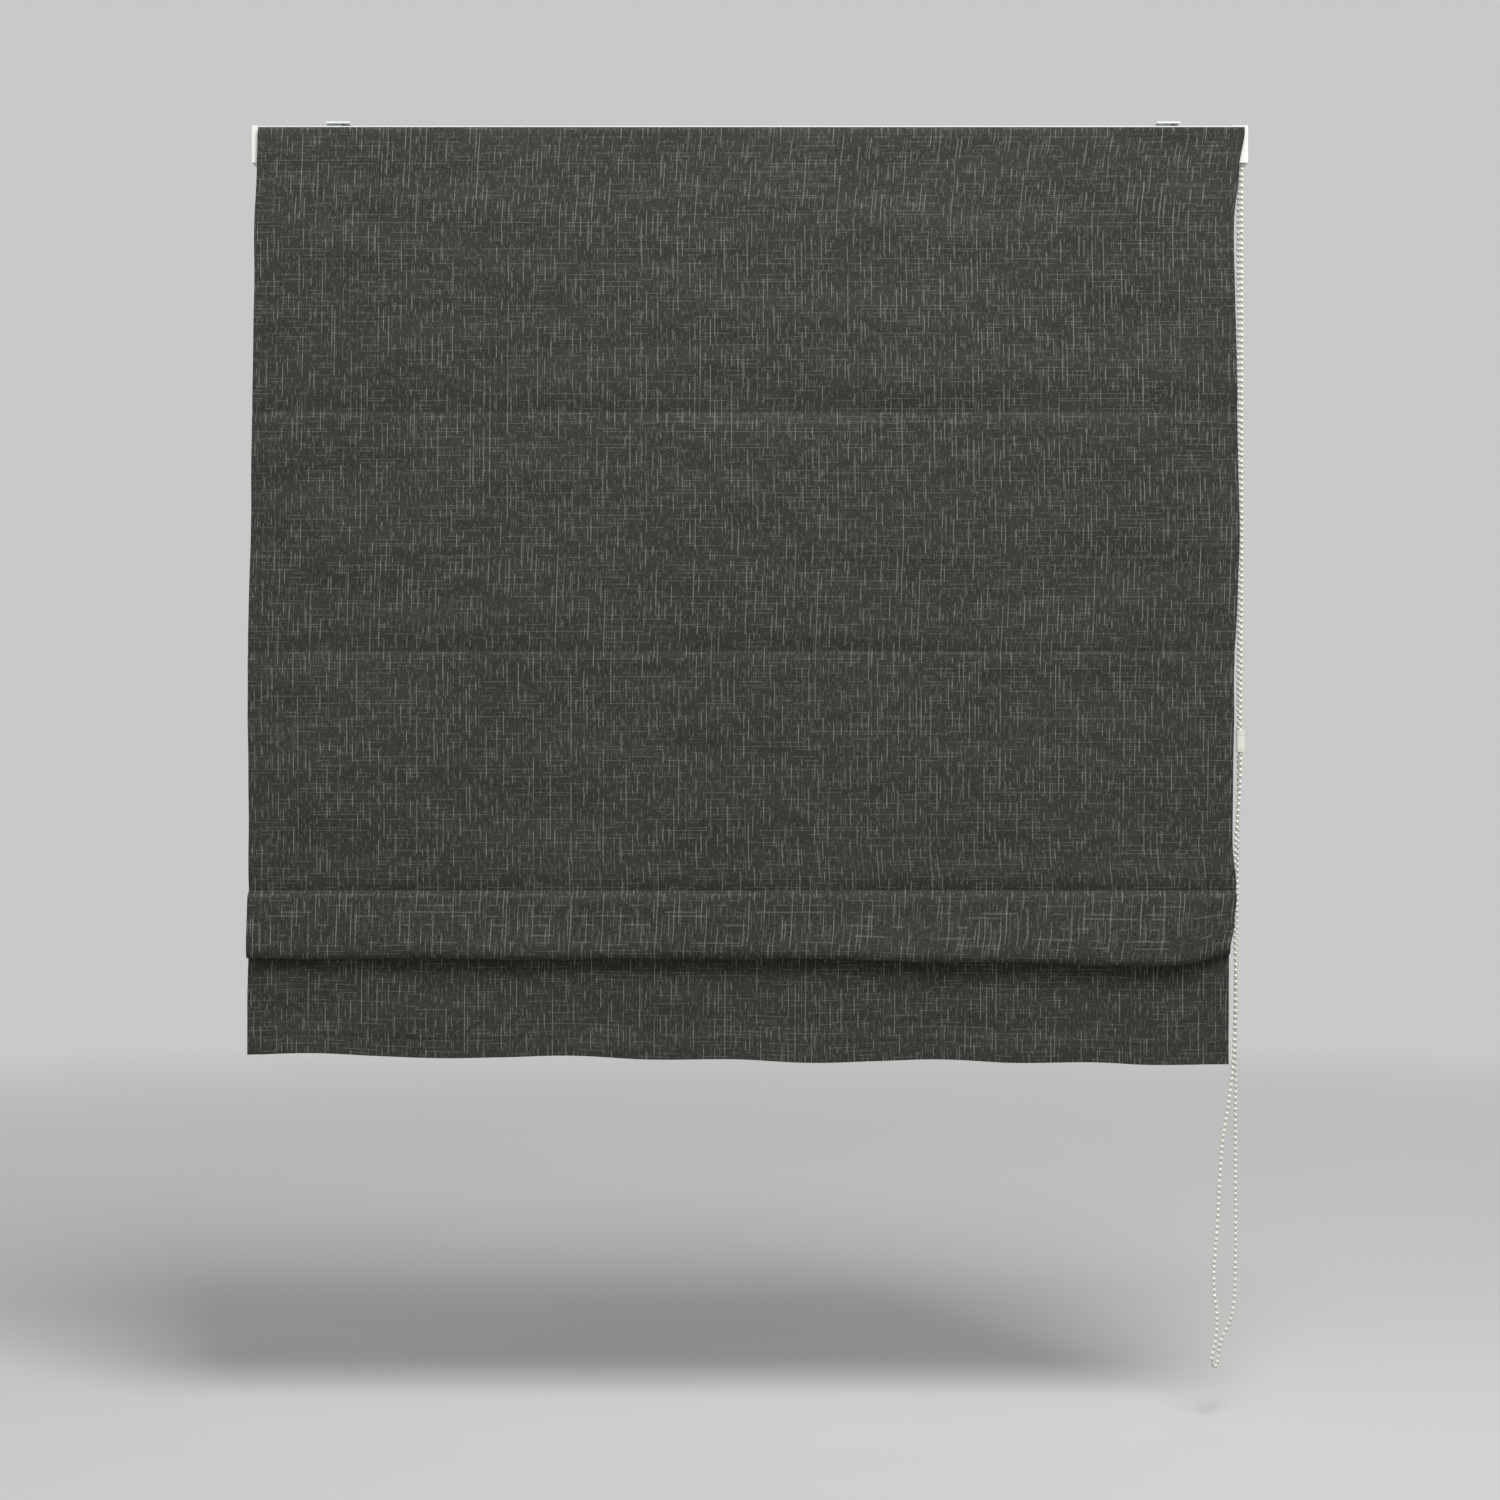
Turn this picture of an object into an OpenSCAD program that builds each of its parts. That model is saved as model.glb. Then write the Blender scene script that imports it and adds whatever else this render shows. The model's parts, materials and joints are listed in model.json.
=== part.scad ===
// Chain-operated Roman blind: a flat cloth with four sewn-in rods, lifted in folds by three cords
// that wind on spools in a ceiling-fixed headrail.
// Frame: +X along the headrail, +Y towards the window, +Z up.
// The origin is on the ceiling, midway between the two bracket screw holes.

/* [Cloth] */
// Width of the cloth
cloth_w = 1030; // [900:10:1400]
// Thickness of the face cloth
face_t = 0.9; // [0.6:0.1:1.2]
// Thickness of the lining
lining_t = 0.5; // [0.3:0.1:0.8]
// Distance from one rod to the next
rod_pitch = 250; // [200:2:310]
// Cloth between the last two rods
fold_len = 127; // [120:1:160]
// Cloth from the last rod to the bottom edge
flap_len = 162; // [130:1:220]
// How far the gathered bottom fold stands in front
fold_depth = 17; // [12:1:20]
// Lining set in from each side edge
lining_inset = 13; // [13:1:20]

/* [Headrail] */
// Depth of the headrail from front to back
rail_depth = 28; // [28:1:34]
// Height of the headrail
rail_h = 38; // [36:1:46]
// Wall of the headrail
rail_wall = 1.3; // [1:0.1:1.8]
// Gap from the ceiling to the top of the headrail
rail_gap = 5; // [5:0.5:6]
// Width of the open lips along the top
lip_w = 5; // [4:0.5:5]
// Distance between the two bracket screw holes
bracket_spacing = 870; // [600:10:900]
// Distance from the middle cord to the outer cords
cord_spacing = 380; // [250:10:400]

/* [Rods and bar] */
// Diameter of the rods
rod_d = 4; // [3:0.5:5]
// Height of the bottom bar
bar_h = 22; // [18:1:26]
// Thickness of the bottom bar
bar_t = 3; // [2:0.5:3]
// Diameter of the lift cords
cord_d = 1.4; // [1:0.1:2]

/* [Drive] */
// Diameter of the drive shaft
shaft_d = 6; // [5:0.5:7]
// Diameter of the drum that a lift cord winds on
drum_d = 16; // [14:1:17]
// Diameter of the beads of the chain
bead_d = 4.5; // [4:0.5:4.5]
// Distance from one bead to the next
bead_pitch = 6; // [5:0.1:7.2]
// Radial clearance of everything that turns
turn_gap = 0.08; // [0.03:0.01:0.1]

/* [Hidden] */
$fn = 48;
EPS = 0.01;
SIDES = [-1, 0, 1];
LEFT = -1;
MIDDLE = 0;
RIGHT = 1;

// Headrail levels and the shaft's height
rail_top = -rail_gap;
rail_bottom = rail_top - rail_h;
axis_z = rail_top - rail_h / 2 - 1;
inner_y = rail_depth / 2 - rail_wall;
floor_z = rail_bottom + rail_wall;

// Ends of the headrail, with the cap on the left and the control unit on the right
cloth_shift = -4;
cloth_left = cloth_shift - cloth_w / 2;
cloth_right = cloth_shift + cloth_w / 2;
rail_left = cloth_left + 3;
rail_right = cloth_right - 8;
cap_t = 6;
plug_len = 12;
plug_play = 0.3;
plug_w = 2 * (inner_y - plug_play);
plug_bottom = floor_z + 0.2;
plug_top = rail_top - rail_wall - 1;
housing_len = 15;
housing_wall = 1.5;
housing_lap = 0.5;
cover_t = 2;
housing_right = rail_right + housing_len;
chain_x = cloth_right + 3;

// Cloth planes, from the front of the headrail forward
hook_t = 1.2;
loop_t = 1;
hook_front = -rail_depth / 2 - hook_t;
loop_front = hook_front - loop_t;
lining_front = loop_front - lining_t;
face_front = lining_front - face_t;
tape_h = 20;
tape_top = rail_top - 7;
cloth_top = rail_top - 2;
head_bottom = rail_bottom - 7;
seam_gap = 1;
seam_depth_first = 255;

// Seams, counted down from the head; the last rod lies just under the third one
stack_step = 13;
seam_1 = head_bottom - seam_depth_first;
seam_2 = seam_1 - rod_pitch;
seam_3 = seam_2 - rod_pitch;
seam_4 = seam_3 - stack_step;
SEAMS = [seam_1, seam_2, seam_3, seam_4];
panel_top = [head_bottom, seam_1, seam_2];
bottom_edge = seam_4 - flap_len;
fold_bottom = seam_3 - stack_step / 2 - fold_len / 2 + 3;

// Rod pockets, rings and cords
pocket_wall = 0.6;
pocket_gap = 0.3;
pocket_r = rod_d / 2 + 2;
pocket_front = loop_front + pocket_gap;
pocket_y = pocket_front + pocket_r;
pocket_flange_h = 12;
pocket_left = cloth_left + lining_inset;
pocket_right = cloth_right - lining_inset;
rod_inset = 3;
ring_wire = 1.8;
ring_d = 11;
cord_y = pocket_y + pocket_r + 0.05 + ring_d / 2;
cord_top = axis_z - 14;
toggle_r = 3.5;
toggle_len = 14;
toggle_gap = 3;
tail_len = 113;
tail_offset = 1.9;

// Bottom bar inside the hem
hem_h = 27;
hem_inset = 8;
bar_play = 0.2;
bar_front = loop_front + bar_play;
bar_bottom = bottom_edge + face_t + bar_play + 0.4;
bar_end = 5;
hem_back = bar_front + bar_t + bar_play;

// Spool and cradle
drum_r = drum_d / 2;
drum_half = 14;
flange_r = drum_r + 3;
flange_t = 1.5;
journal_r = 4;
upright_x = 18;
upright_t = 3;
spool_half = upright_x + upright_t + 0.5;
base_t = 2;
wound_turns = 6;
flat_depth = 0.8;

// Chain wheel, hub, spring
wheel_room = rail_depth / 2 + housing_lap - housing_wall - 3;
wheel_pockets = 2 * floor(PI * wheel_room / bead_pitch);
pitch_r = bead_pitch * wheel_pockets / (2 * PI);
wheel_half = 3.4;
wheel_flange = 1;
wheel_core_r = pitch_r - 0.65;
wheel_flange_r = pitch_r + 2.4;
stub_r = 4;
hub_r = 6;
spring_wire = 1;
spring_turns = 4;
bead_play = 0.15;
string_r = 0.5;
slot_w = 6;
shaft_left = rail_left - 1;
hub_left = rail_right - 10;
hub_right = chain_x - wheel_half - 0.3;
shaft_right = hub_right - 3;

// Bracket
plate_t = 2;
plate_left = 10;
plate_right = 15;
plate_half_y = 13;
screw_r = 2.5;
head_r = 4.4;
opening_half = inner_y - lip_w;
stem_half_y = opening_half - 0.4;
lip_bottom = rail_top - rail_wall;
jaw_gap = 0.3;
jaw_top = lip_bottom - jaw_gap;
jaw_t = 2;
jaw_reach = inner_y - 1.2;
lever_x = 10;
lever_pin_r = 2.4;
handle_top = -plate_t - 0.4;
handle_bottom = rail_top + 0.4;
handle_w = 7;
handle_reach = 24;
cam_w = 5;

// Bead chain: its run from the front slot round the bottom and up to the back slot,
// as [across from the wheel, towards the window, height]
chain_r = bead_d / 2;
front_y = -pitch_r;
back_y = pitch_r;
chain_start = -37;
CHAIN_ROUTE = [
    [0, front_y, chain_start], [0, front_y, -80], [0, front_y, -160], [0, front_y, -240],
    [0, front_y, -320], [0, front_y, -400], [0, front_y, -480], [-0.5, front_y, -560],
    [-1, front_y, -620], [-1, front_y, -680], [-3, front_y, -715], [-6, front_y, -755],
    [-8, front_y, -800], [-7, front_y, -850], [-6, front_y, -900], [-7, front_y, -950],
    [-9, front_y, -990], [-14, front_y, -1030], [-20, front_y, -1070], [-23, front_y, -1110],
    [-25, front_y, -1150], [-28, front_y, -1190], [-29, front_y, -1220], [-26, front_y, -1250],
    [-27, front_y, -1275], [-31, front_y, -1294], [-29.5, 0.68 * front_y, -1302], [-26, 0, -1306],
    [-22.5, 0.68 * back_y, -1302], [-21, back_y, -1294], [-17, back_y, -1278], [-8, back_y, -1258],
    [-4, back_y, -1230], [-3, back_y, -1180], [-3, back_y, -1100], [-3, back_y, -1020],
    [-3, back_y, -940], [-2, back_y, -860], [-1, back_y, -780], [0, back_y, -700],
    [0, back_y, -600], [0, back_y, -500], [0, back_y, -400], [0, back_y, -300],
    [0, back_y, -200], [0, back_y, -100], [0, back_y, chain_start]
];
CHAIN_SIDES = 8;
connector_x = chain_x - 1;
connector_top = -637;
connector_len = 23;
connector_half_x = 2.2;
connector_r = 2.9;
connector_waist_r = 2.7;

// ---- helpers ----

// A box between two corners
module box_between(low, high) {
    translate(low) cube(high - low);
}

// A cylinder along X between two places
module bar_x(x0, x1, r) {
    translate([x0, 0, 0]) rotate([0, 90, 0]) cylinder(h = x1 - x0, r = r);
}

// A cylinder hanging down from the given height
module bar_down(top, length, r) {
    translate([0, 0, top - length]) cylinder(h = length, r = r);
}

// The flatted section of the drive shaft, grown by a gap, between two places
module shaft_form(x0, x1, gap) {
    r = shaft_d / 2 + gap;
    difference() {
        bar_x(x0, x1, r);
        box_between([x0 - 1, -r, r - flat_depth], [x1 + 1, r, r + 1]);
    }
}

// One flat piece of cloth with its front at the given depth
module cloth_slab(left, right, front, thickness, top, bottom) {
    box_between([left, front, bottom], [right, front + thickness, top]);
}

module face_slab(forward, top, bottom) {
    color([0.27, 0.27, 0.25])
        cloth_slab(cloth_left, cloth_right, face_front - forward, face_t, top, bottom);
}

module lining_slab(forward, top, bottom) {
    color([0.86, 0.84, 0.79])
        cloth_slab(pocket_left, pocket_right, lining_front - forward, lining_t, top, bottom);
}

function panel_length(i) = panel_top[i] - SEAMS[i];
function panel_middle(i) = panel_top[i] - panel_length(i) / 2;

// Catmull-Rom point on the chain's run, at a whole or half step
function route_at(i) = CHAIN_ROUTE[max(0, min(len(CHAIN_ROUTE) - 1, i))];
function route_mid(i) = (9 * (route_at(i) + route_at(i + 1)) - route_at(i - 1) - route_at(i + 2)) / 16;

// A midpoint is added only where the run bends round the bottom
function run_points() = [
    for (i = [0 : len(CHAIN_ROUTE) - 1])
        for (step = [0 : (i >= 15 && i < 33) ? 1 : 0])
            step == 0 ? route_at(i) : route_mid(i)
];

function unit(v) = v / norm(v);

// A polyhedron swept along points with straight rings across the run
module sweep_tube(points, r, sides) {
    last = len(points) - 1;
    rings = [
        for (i = [0 : last])
            let (
                ahead = unit(points[min(last, i + 1)] - points[max(0, i - 1)]),
                side = unit(cross(ahead, [1, 0, 0])),
                other = cross(ahead, side)
            )
            for (k = [0 : sides - 1])
                points[i] + r * (cos(360 * k / sides) * side + sin(360 * k / sides) * other)
    ];
    walls = [
        for (i = [0 : last - 1])
            for (k = [0 : sides - 1])
                let (n = (k + 1) % sides, a = i * sides)
                    [a + k, a + sides + k, a + sides + n, a + n]
    ];
    first_cap = [for (k = [0 : sides - 1]) k];
    last_cap = [for (k = [sides - 1 : -1 : 0]) last * sides + k];
    polyhedron(points = rings, faces = concat(walls, [first_cap, last_cap]), convexity = 6);
}

// ---- headrail ----

module headrail_channel() {
    color([0.93, 0.93, 0.92])
    difference() {
        box_between([rail_left, -rail_depth / 2, rail_bottom], [rail_right, rail_depth / 2, rail_top]);
        box_between([rail_left - 1, -inner_y, floor_z], [rail_right + 1, inner_y, rail_top - rail_wall]);
        box_between([rail_left - 1, -opening_half, floor_z], [rail_right + 1, opening_half, rail_top + 1]);
        for (side = SIDES)
            translate([side * cord_spacing, cord_y, 0]) bar_down(floor_z + 1, rail_wall + 2, 3.5);
    }
}

module end_cap_left() {
    color([0.9, 0.9, 0.88])
    difference() {
        union() {
            box_between([rail_left - cap_t, -rail_depth / 2 - housing_lap, rail_bottom - housing_lap],
                [rail_left, rail_depth / 2 + housing_lap, rail_top + housing_lap]);
            box_between([rail_left - EPS, -plug_w / 2, plug_bottom], [rail_left + plug_len, plug_w / 2, plug_top]);
            box_between([rail_left - cap_t - 1.2, -3, rail_bottom + 4], [rail_left - cap_t + EPS, 3, rail_top - 10]);
        }
        translate([0, 0, axis_z]) bar_x(rail_left - 1, rail_left + plug_len + 1, shaft_d / 2 + 2);
    }
}

module shaft_bush() {
    color([0.8, 0.78, 0.7])
    translate([0, 0, axis_z])
    difference() {
        bar_x(rail_left - 1, rail_left + plug_len - 2, shaft_d / 2 + 1.95);
        bar_x(rail_left - 2, rail_left + plug_len + 1, shaft_d / 2 + turn_gap);
    }
}

module control_housing() {
    half = rail_depth / 2 + housing_lap;
    color([0.93, 0.93, 0.9])
    difference() {
        union() {
            box_between([rail_right, -half, rail_bottom - housing_lap], [housing_right, half, rail_top + housing_lap]);
            box_between([rail_right - plug_len, -plug_w / 2, plug_bottom],
                [rail_right + EPS, plug_w / 2, plug_top]);
        }
        box_between([rail_right + 2, -half + housing_wall, rail_bottom - housing_lap + housing_wall],
            [housing_right + 1, half - housing_wall, rail_top + housing_lap - housing_wall]);
        translate([0, 0, axis_z]) bar_x(rail_right - plug_len - 1, rail_right + 3, hub_r + turn_gap);
        for (mid = [front_y, back_y])
            box_between([chain_x - slot_w / 2, mid - slot_w / 2, rail_bottom - housing_lap - 1],
                [chain_x + slot_w / 2, mid + slot_w / 2, floor_z + 1]);
    }
}

module control_cover() {
    half = rail_depth / 2 + housing_lap;
    color([0.93, 0.93, 0.9])
    union() {
        box_between([housing_right, -half, rail_bottom - housing_lap],
            [housing_right + cover_t, half, rail_top + housing_lap]);
        translate([0, 0, axis_z]) bar_x(chain_x - wheel_half, housing_right + EPS, stub_r);
    }
}

module wrap_spring() {
    color([0.6, 0.6, 0.62])
    translate([rail_right + 2, 0, axis_z])
    rotate([0, 90, 0])
    rotate_extrude()
    union() {
        translate([hub_r + 0.3, 0]) square([spring_wire * 0.6, spring_turns * spring_wire]);
        for (turn = [0 : spring_turns - 1])
            translate([hub_r + 0.3 + spring_wire / 2, (turn + 0.5) * spring_wire])
                circle(d = spring_wire, $fn = 24);
    }
}

// One cradle that clips on the rail floor and carries a spool between two uprights
module cord_cradle() {
    difference() {
        union() {
            box_between([-upright_x - upright_t - 1, -plug_w / 2, floor_z],
                [upright_x + upright_t + 1, plug_w / 2, floor_z + base_t]);
            for (side = [LEFT, RIGHT])
                box_between([side * (upright_x + upright_t / 2) - upright_t / 2, -9, floor_z + base_t - EPS],
                    [side * (upright_x + upright_t / 2) + upright_t / 2, 9, axis_z + 9]);
            translate([0, cord_y, 0]) bar_down(floor_z + EPS, rail_wall + 0.6, 3.4);
        }
        translate([0, 0, axis_z]) bar_x(-spool_half - 1, spool_half + 1, journal_r + turn_gap);
        translate([0, cord_y, 0]) bar_down(floor_z + base_t + 1, base_t + rail_wall + 4, 1.8);
    }
}

module cord_cradles() {
    color([0.85, 0.85, 0.83])
    for (side = SIDES)
        translate([side * cord_spacing, 0, 0]) cord_cradle();
}

module hook_tape() {
    color([0.9, 0.9, 0.88])
        cloth_slab(rail_left + 2, rail_right - 2, hook_front, hook_t, tape_top, tape_top - tape_h);
}

module loop_tape() {
    color([0.85, 0.85, 0.82])
        cloth_slab(rail_left + 2, rail_right - 2, loop_front, loop_t, tape_top, tape_top - tape_h);
}

module head_face() {
    face_slab(0, cloth_top, head_bottom + seam_gap / 2);
}

module head_lining() {
    lining_slab(0, cloth_top - 1, head_bottom + seam_gap / 2);
}

// ---- brackets ----

module bracket_at(side) {
    color([0.92, 0.93, 0.93])
    translate([side * bracket_spacing / 2, 0, 0])
    difference() {
        union() {
            box_between([-plate_left, -plate_half_y, -plate_t], [plate_right, plate_half_y, 0]);
            box_between([-7, -stem_half_y, jaw_top - jaw_t], [5.5, stem_half_y, -plate_t + EPS]);
            box_between([-7, -jaw_reach, jaw_top - jaw_t], [5.5, -stem_half_y + EPS, jaw_top]);
        }
        bar_down(1, 30, screw_r);
        bar_down(-3.5, 30, head_r);
        translate([lever_x, 0, 0]) bar_down(1, 5, lever_pin_r + turn_gap);
    }
}

module bracket_left() {
    bracket_at(LEFT);
}

module bracket_right() {
    bracket_at(RIGHT);
}

module bracket_lever_at(side) {
    color([0.75, 0.8, 0.82])
    translate([side * bracket_spacing / 2 + lever_x, 0, 0])
    union() {
        bar_down(-0.3, -handle_top - 0.3 + EPS, lever_pin_r);
        translate([0, handle_reach - handle_w / 2, 0])
            bar_down(handle_top, handle_top - handle_bottom, handle_w / 2);
        box_between([-handle_w / 2, 0, handle_bottom], [handle_w / 2, handle_reach - handle_w / 2, handle_top]);
        bar_down(handle_top, handle_top - handle_bottom, handle_w / 2);
        bar_down(handle_bottom + EPS, handle_bottom - jaw_top + 2 * EPS, 3);
        bar_down(jaw_top, jaw_t, handle_w / 2);
        box_between([-cam_w / 2, 0, jaw_top - jaw_t], [cam_w / 2, jaw_reach, jaw_top]);
    }
}

module bracket_lever_left() {
    bracket_lever_at(LEFT);
}

module bracket_lever_right() {
    bracket_lever_at(RIGHT);
}

// ---- chain ----

module bead_chain() {
    color([0.93, 0.93, 0.9])
    translate([chain_x, 0, 0])
        sweep_tube(run_points(), chain_r, CHAIN_SIDES);
}

// An oval collar standing upright round the chain
module connector_collar(top, length, r) {
    for (side = [LEFT, RIGHT])
        translate([side * connector_half_x, 0, 0]) bar_down(top, length, r);
    box_between([-connector_half_x, -r, top - length], [connector_half_x, r, top]);
}

module chain_connector() {
    end_len = 6;
    color([0.95, 0.95, 0.93])
    translate([connector_x, front_y, 0])
    difference() {
        union() {
            connector_collar(connector_top, end_len, connector_r);
            connector_collar(connector_top - end_len + EPS, connector_len - 2 * end_len + 2 * EPS,
                connector_waist_r);
            connector_collar(connector_top - connector_len + end_len, end_len, connector_r);
        }
        bar_down(connector_top + 1, connector_len + 2, chain_r + 0.1);
    }
}

// ---- lift cords, shaft and spools ----

module lift_cords() {
    color([0.95, 0.95, 0.93])
    for (side = SIDES)
        translate([side * cord_spacing, cord_y, 0])
            bar_down(cord_top, cord_top - seam_3 - ring_wire, cord_d / 2);
}

module drive_shaft() {
    color([0.7, 0.7, 0.72])
    translate([0, 0, axis_z]) shaft_form(shaft_left, shaft_right, 0);
}

module lift_spool_at(side) {
    color([0.95, 0.95, 0.95])
    translate([side * cord_spacing, 0, axis_z])
    difference() {
        union() {
            bar_x(-drum_half - EPS, drum_half + EPS, drum_r);
            for (end = [LEFT, RIGHT]) {
                mid = end * (drum_half + flange_t / 2);
                bar_x(mid - flange_t / 2, mid + flange_t / 2, flange_r);
            }
            bar_x(-spool_half, spool_half, journal_r);
        }
        shaft_form(-spool_half - 1, spool_half + 1, turn_gap);
    }
}

module lift_spool_left() {
    lift_spool_at(LEFT);
}

module lift_spool_middle() {
    lift_spool_at(MIDDLE);
}

module lift_spool_right() {
    lift_spool_at(RIGHT);
}

// The first turns of each lift cord, wound side by side on its drum
module wound_cords() {
    color([0.95, 0.95, 0.93])
    for (side = SIDES)
        translate([side * cord_spacing - wound_turns * cord_d / 2, 0, axis_z])
        rotate([0, 90, 0])
        rotate_extrude()
        union() {
            translate([drum_r + 0.02, 0]) square([cord_d * 0.6, wound_turns * cord_d]);
            for (turn = [0 : wound_turns - 1])
                translate([drum_r + 0.02 + cord_d / 2, (turn + 0.5) * cord_d]) circle(d = cord_d, $fn = 24);
        }
}

module clutch_hub() {
    color([0.3, 0.3, 0.32])
    translate([0, 0, axis_z])
    difference() {
        bar_x(hub_left, hub_right, hub_r);
        shaft_form(hub_left - 1, shaft_right + 1, turn_gap);
    }
}

module chain_wheel() {
    color([0.9, 0.9, 0.88])
    translate([chain_x, 0, axis_z])
    difference() {
        union() {
            bar_x(-wheel_half, wheel_half, wheel_core_r);
            for (end = [LEFT, RIGHT]) {
                mid = end * (wheel_half - wheel_flange / 2);
                bar_x(mid - wheel_flange / 2, mid + wheel_flange / 2, wheel_flange_r);
            }
        }
        bar_x(-wheel_half - 1, wheel_half + 1, stub_r + turn_gap);
        for (k = [0 : wheel_pockets - 1])
            rotate([k * 360 / wheel_pockets, 0, 0])
                translate([0, pitch_r, 0]) sphere(r = chain_r + bead_play);
    }
}

// The length of chain that lies over the wheel
module wheel_beads() {
    half = wheel_pockets / 2;
    color([0.93, 0.93, 0.9])
    translate([chain_x, 0, axis_z])
    union() {
        for (k = [0 : half])
            rotate([k * 360 / wheel_pockets, 0, 0])
                translate([0, pitch_r, 0]) sphere(r = chain_r - 0.05);
        rotate([0, 90, 0])
            rotate([0, 0, 90])
            rotate_extrude(angle = half * 360 / wheel_pockets)
                translate([pitch_r, 0]) circle(r = string_r, $fn = 24);
    }
}

// ---- cloth ----

module face_upper(i) {
    face_slab(0, panel_top[i] - seam_gap, panel_middle(i) + seam_gap / 2);
}

module face_lower(i) {
    face_slab(0, panel_middle(i) - seam_gap / 2, SEAMS[i] + seam_gap / 2);
}

module lining_upper(i) {
    lining_slab(0, panel_top[i] - seam_gap, panel_middle(i) + seam_gap / 2);
}

module lining_lower(i) {
    lining_slab(0, panel_middle(i) - seam_gap / 2, SEAMS[i] + seam_gap / 2);
}

module rod_at(i) {
    color([0.9, 0.9, 0.82])
    translate([0, pocket_y, SEAMS[i]])
        bar_x(pocket_left + rod_inset, pocket_right - rod_inset, rod_d / 2);
}

module rod_pocket_at(i) {
    color([0.84, 0.82, 0.77])
    difference() {
        union() {
            translate([0, pocket_y, SEAMS[i]]) bar_x(pocket_left, pocket_right, pocket_r);
            box_between([pocket_left, pocket_front, SEAMS[i] - pocket_flange_h / 2],
                [pocket_right, pocket_front + pocket_wall, SEAMS[i] + pocket_flange_h / 2]);
        }
        translate([0, pocket_y, SEAMS[i]])
            bar_x(pocket_left - 1, pocket_right + 1, pocket_r - pocket_wall);
    }
}

module cord_rings_at(i) {
    color([0.96, 0.96, 0.95])
    for (side = SIDES)
        translate([side * cord_spacing, cord_y, SEAMS[i]])
            rotate_extrude()
                translate([ring_d / 2 - ring_wire / 2, 0]) circle(d = ring_wire, $fn = 24);
}

module fold_face_front() {
    face_slab(fold_depth, seam_3 - 4, fold_bottom);
}

module fold_lining_front() {
    lining_slab(fold_depth, seam_3 - 4, fold_bottom);
}

module fold_face_back() {
    face_slab(fold_depth / 2, seam_4 - 4, fold_bottom);
}

module fold_lining_back() {
    lining_slab(fold_depth / 2, seam_4 - 4, fold_bottom);
}

module flap_face() {
    color([0.26, 0.26, 0.24])
    union() {
        cloth_slab(cloth_left, cloth_right, face_front, face_t, seam_4 - seam_gap, bottom_edge);
        cloth_slab(cloth_left + hem_inset, cloth_right - hem_inset, face_front,
            hem_back + face_t - face_front, bottom_edge + face_t, bottom_edge);
        cloth_slab(cloth_left + hem_inset, cloth_right - hem_inset, hem_back, face_t,
            bottom_edge + hem_h, bottom_edge);
    }
}

module flap_lining() {
    lining_slab(0, seam_4 - seam_gap, bottom_edge + hem_h);
}

module bottom_bar() {
    color([0.8, 0.8, 0.8])
        box_between([cloth_left + hem_inset + bar_end, bar_front, bar_bottom],
            [cloth_right - hem_inset - bar_end, bar_front + bar_t, bar_bottom + bar_h]);
}

module bar_caps() {
    color([0.9, 0.9, 0.9])
    for (x0 = [cloth_left + hem_inset, cloth_right - hem_inset - bar_end])
        box_between([x0, bar_front, bar_bottom], [x0 + bar_end, bar_front + bar_t, bar_bottom + bar_h]);
}

module cord_toggles() {
    color([0.95, 0.95, 0.93])
    for (side = SIDES)
        translate([side * cord_spacing + tail_offset, cord_y, 0])
            bar_down(seam_4 - toggle_gap, toggle_len, toggle_r);
}

// The last length of each lift cord, lying beside the main run while the bottom fold is gathered
module cord_tails() {
    color([0.95, 0.95, 0.93])
    for (side = SIDES)
        translate([side * cord_spacing + tail_offset, cord_y, 0])
            bar_down(seam_4 - toggle_gap + tail_len, tail_len, cord_d / 2);
}

headrail_channel();
end_cap_left();
shaft_bush();
control_housing();
control_cover();
wrap_spring();
cord_cradles();
hook_tape();
loop_tape();
head_face();
head_lining();
bracket_left();
bracket_right();
bead_chain();
chain_connector();
lift_cords();
drive_shaft();
lift_spool_left();
lift_spool_middle();
lift_spool_right();
wound_cords();
clutch_hub();
chain_wheel();
wheel_beads();
bracket_lever_left();
bracket_lever_right();
face_upper(0);  // face_upper_1
face_upper(1);  // face_upper_2
face_upper(2);  // face_upper_3
face_lower(0);  // face_lower_1
face_lower(1);  // face_lower_2
face_lower(2);  // face_lower_3
lining_upper(0);  // lining_upper_1
lining_upper(1);  // lining_upper_2
lining_upper(2);  // lining_upper_3
lining_lower(0);  // lining_lower_1
lining_lower(1);  // lining_lower_2
lining_lower(2);  // lining_lower_3
rod_at(0);  // rod_1
rod_at(1);  // rod_2
rod_at(2);  // rod_3
rod_at(3);  // rod_4
rod_pocket_at(0);  // rod_pocket_1
rod_pocket_at(1);  // rod_pocket_2
rod_pocket_at(2);  // rod_pocket_3
rod_pocket_at(3);  // rod_pocket_4
cord_rings_at(0);  // cord_rings_1
cord_rings_at(1);  // cord_rings_2
cord_rings_at(2);  // cord_rings_3
cord_rings_at(3);  // cord_rings_4
fold_face_front();
fold_face_back();
fold_lining_front();
fold_lining_back();
flap_face();
flap_lining();
bottom_bar();
bar_caps();
cord_toggles();
cord_tails();
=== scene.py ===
"""Chain-operated Roman blind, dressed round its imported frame."""

import json
import logging
import math
from collections.abc import Callable, Sequence
from dataclasses import dataclass, field
from enum import Enum
from typing import TypeVar

import bpy
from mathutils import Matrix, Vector, noise


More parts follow.
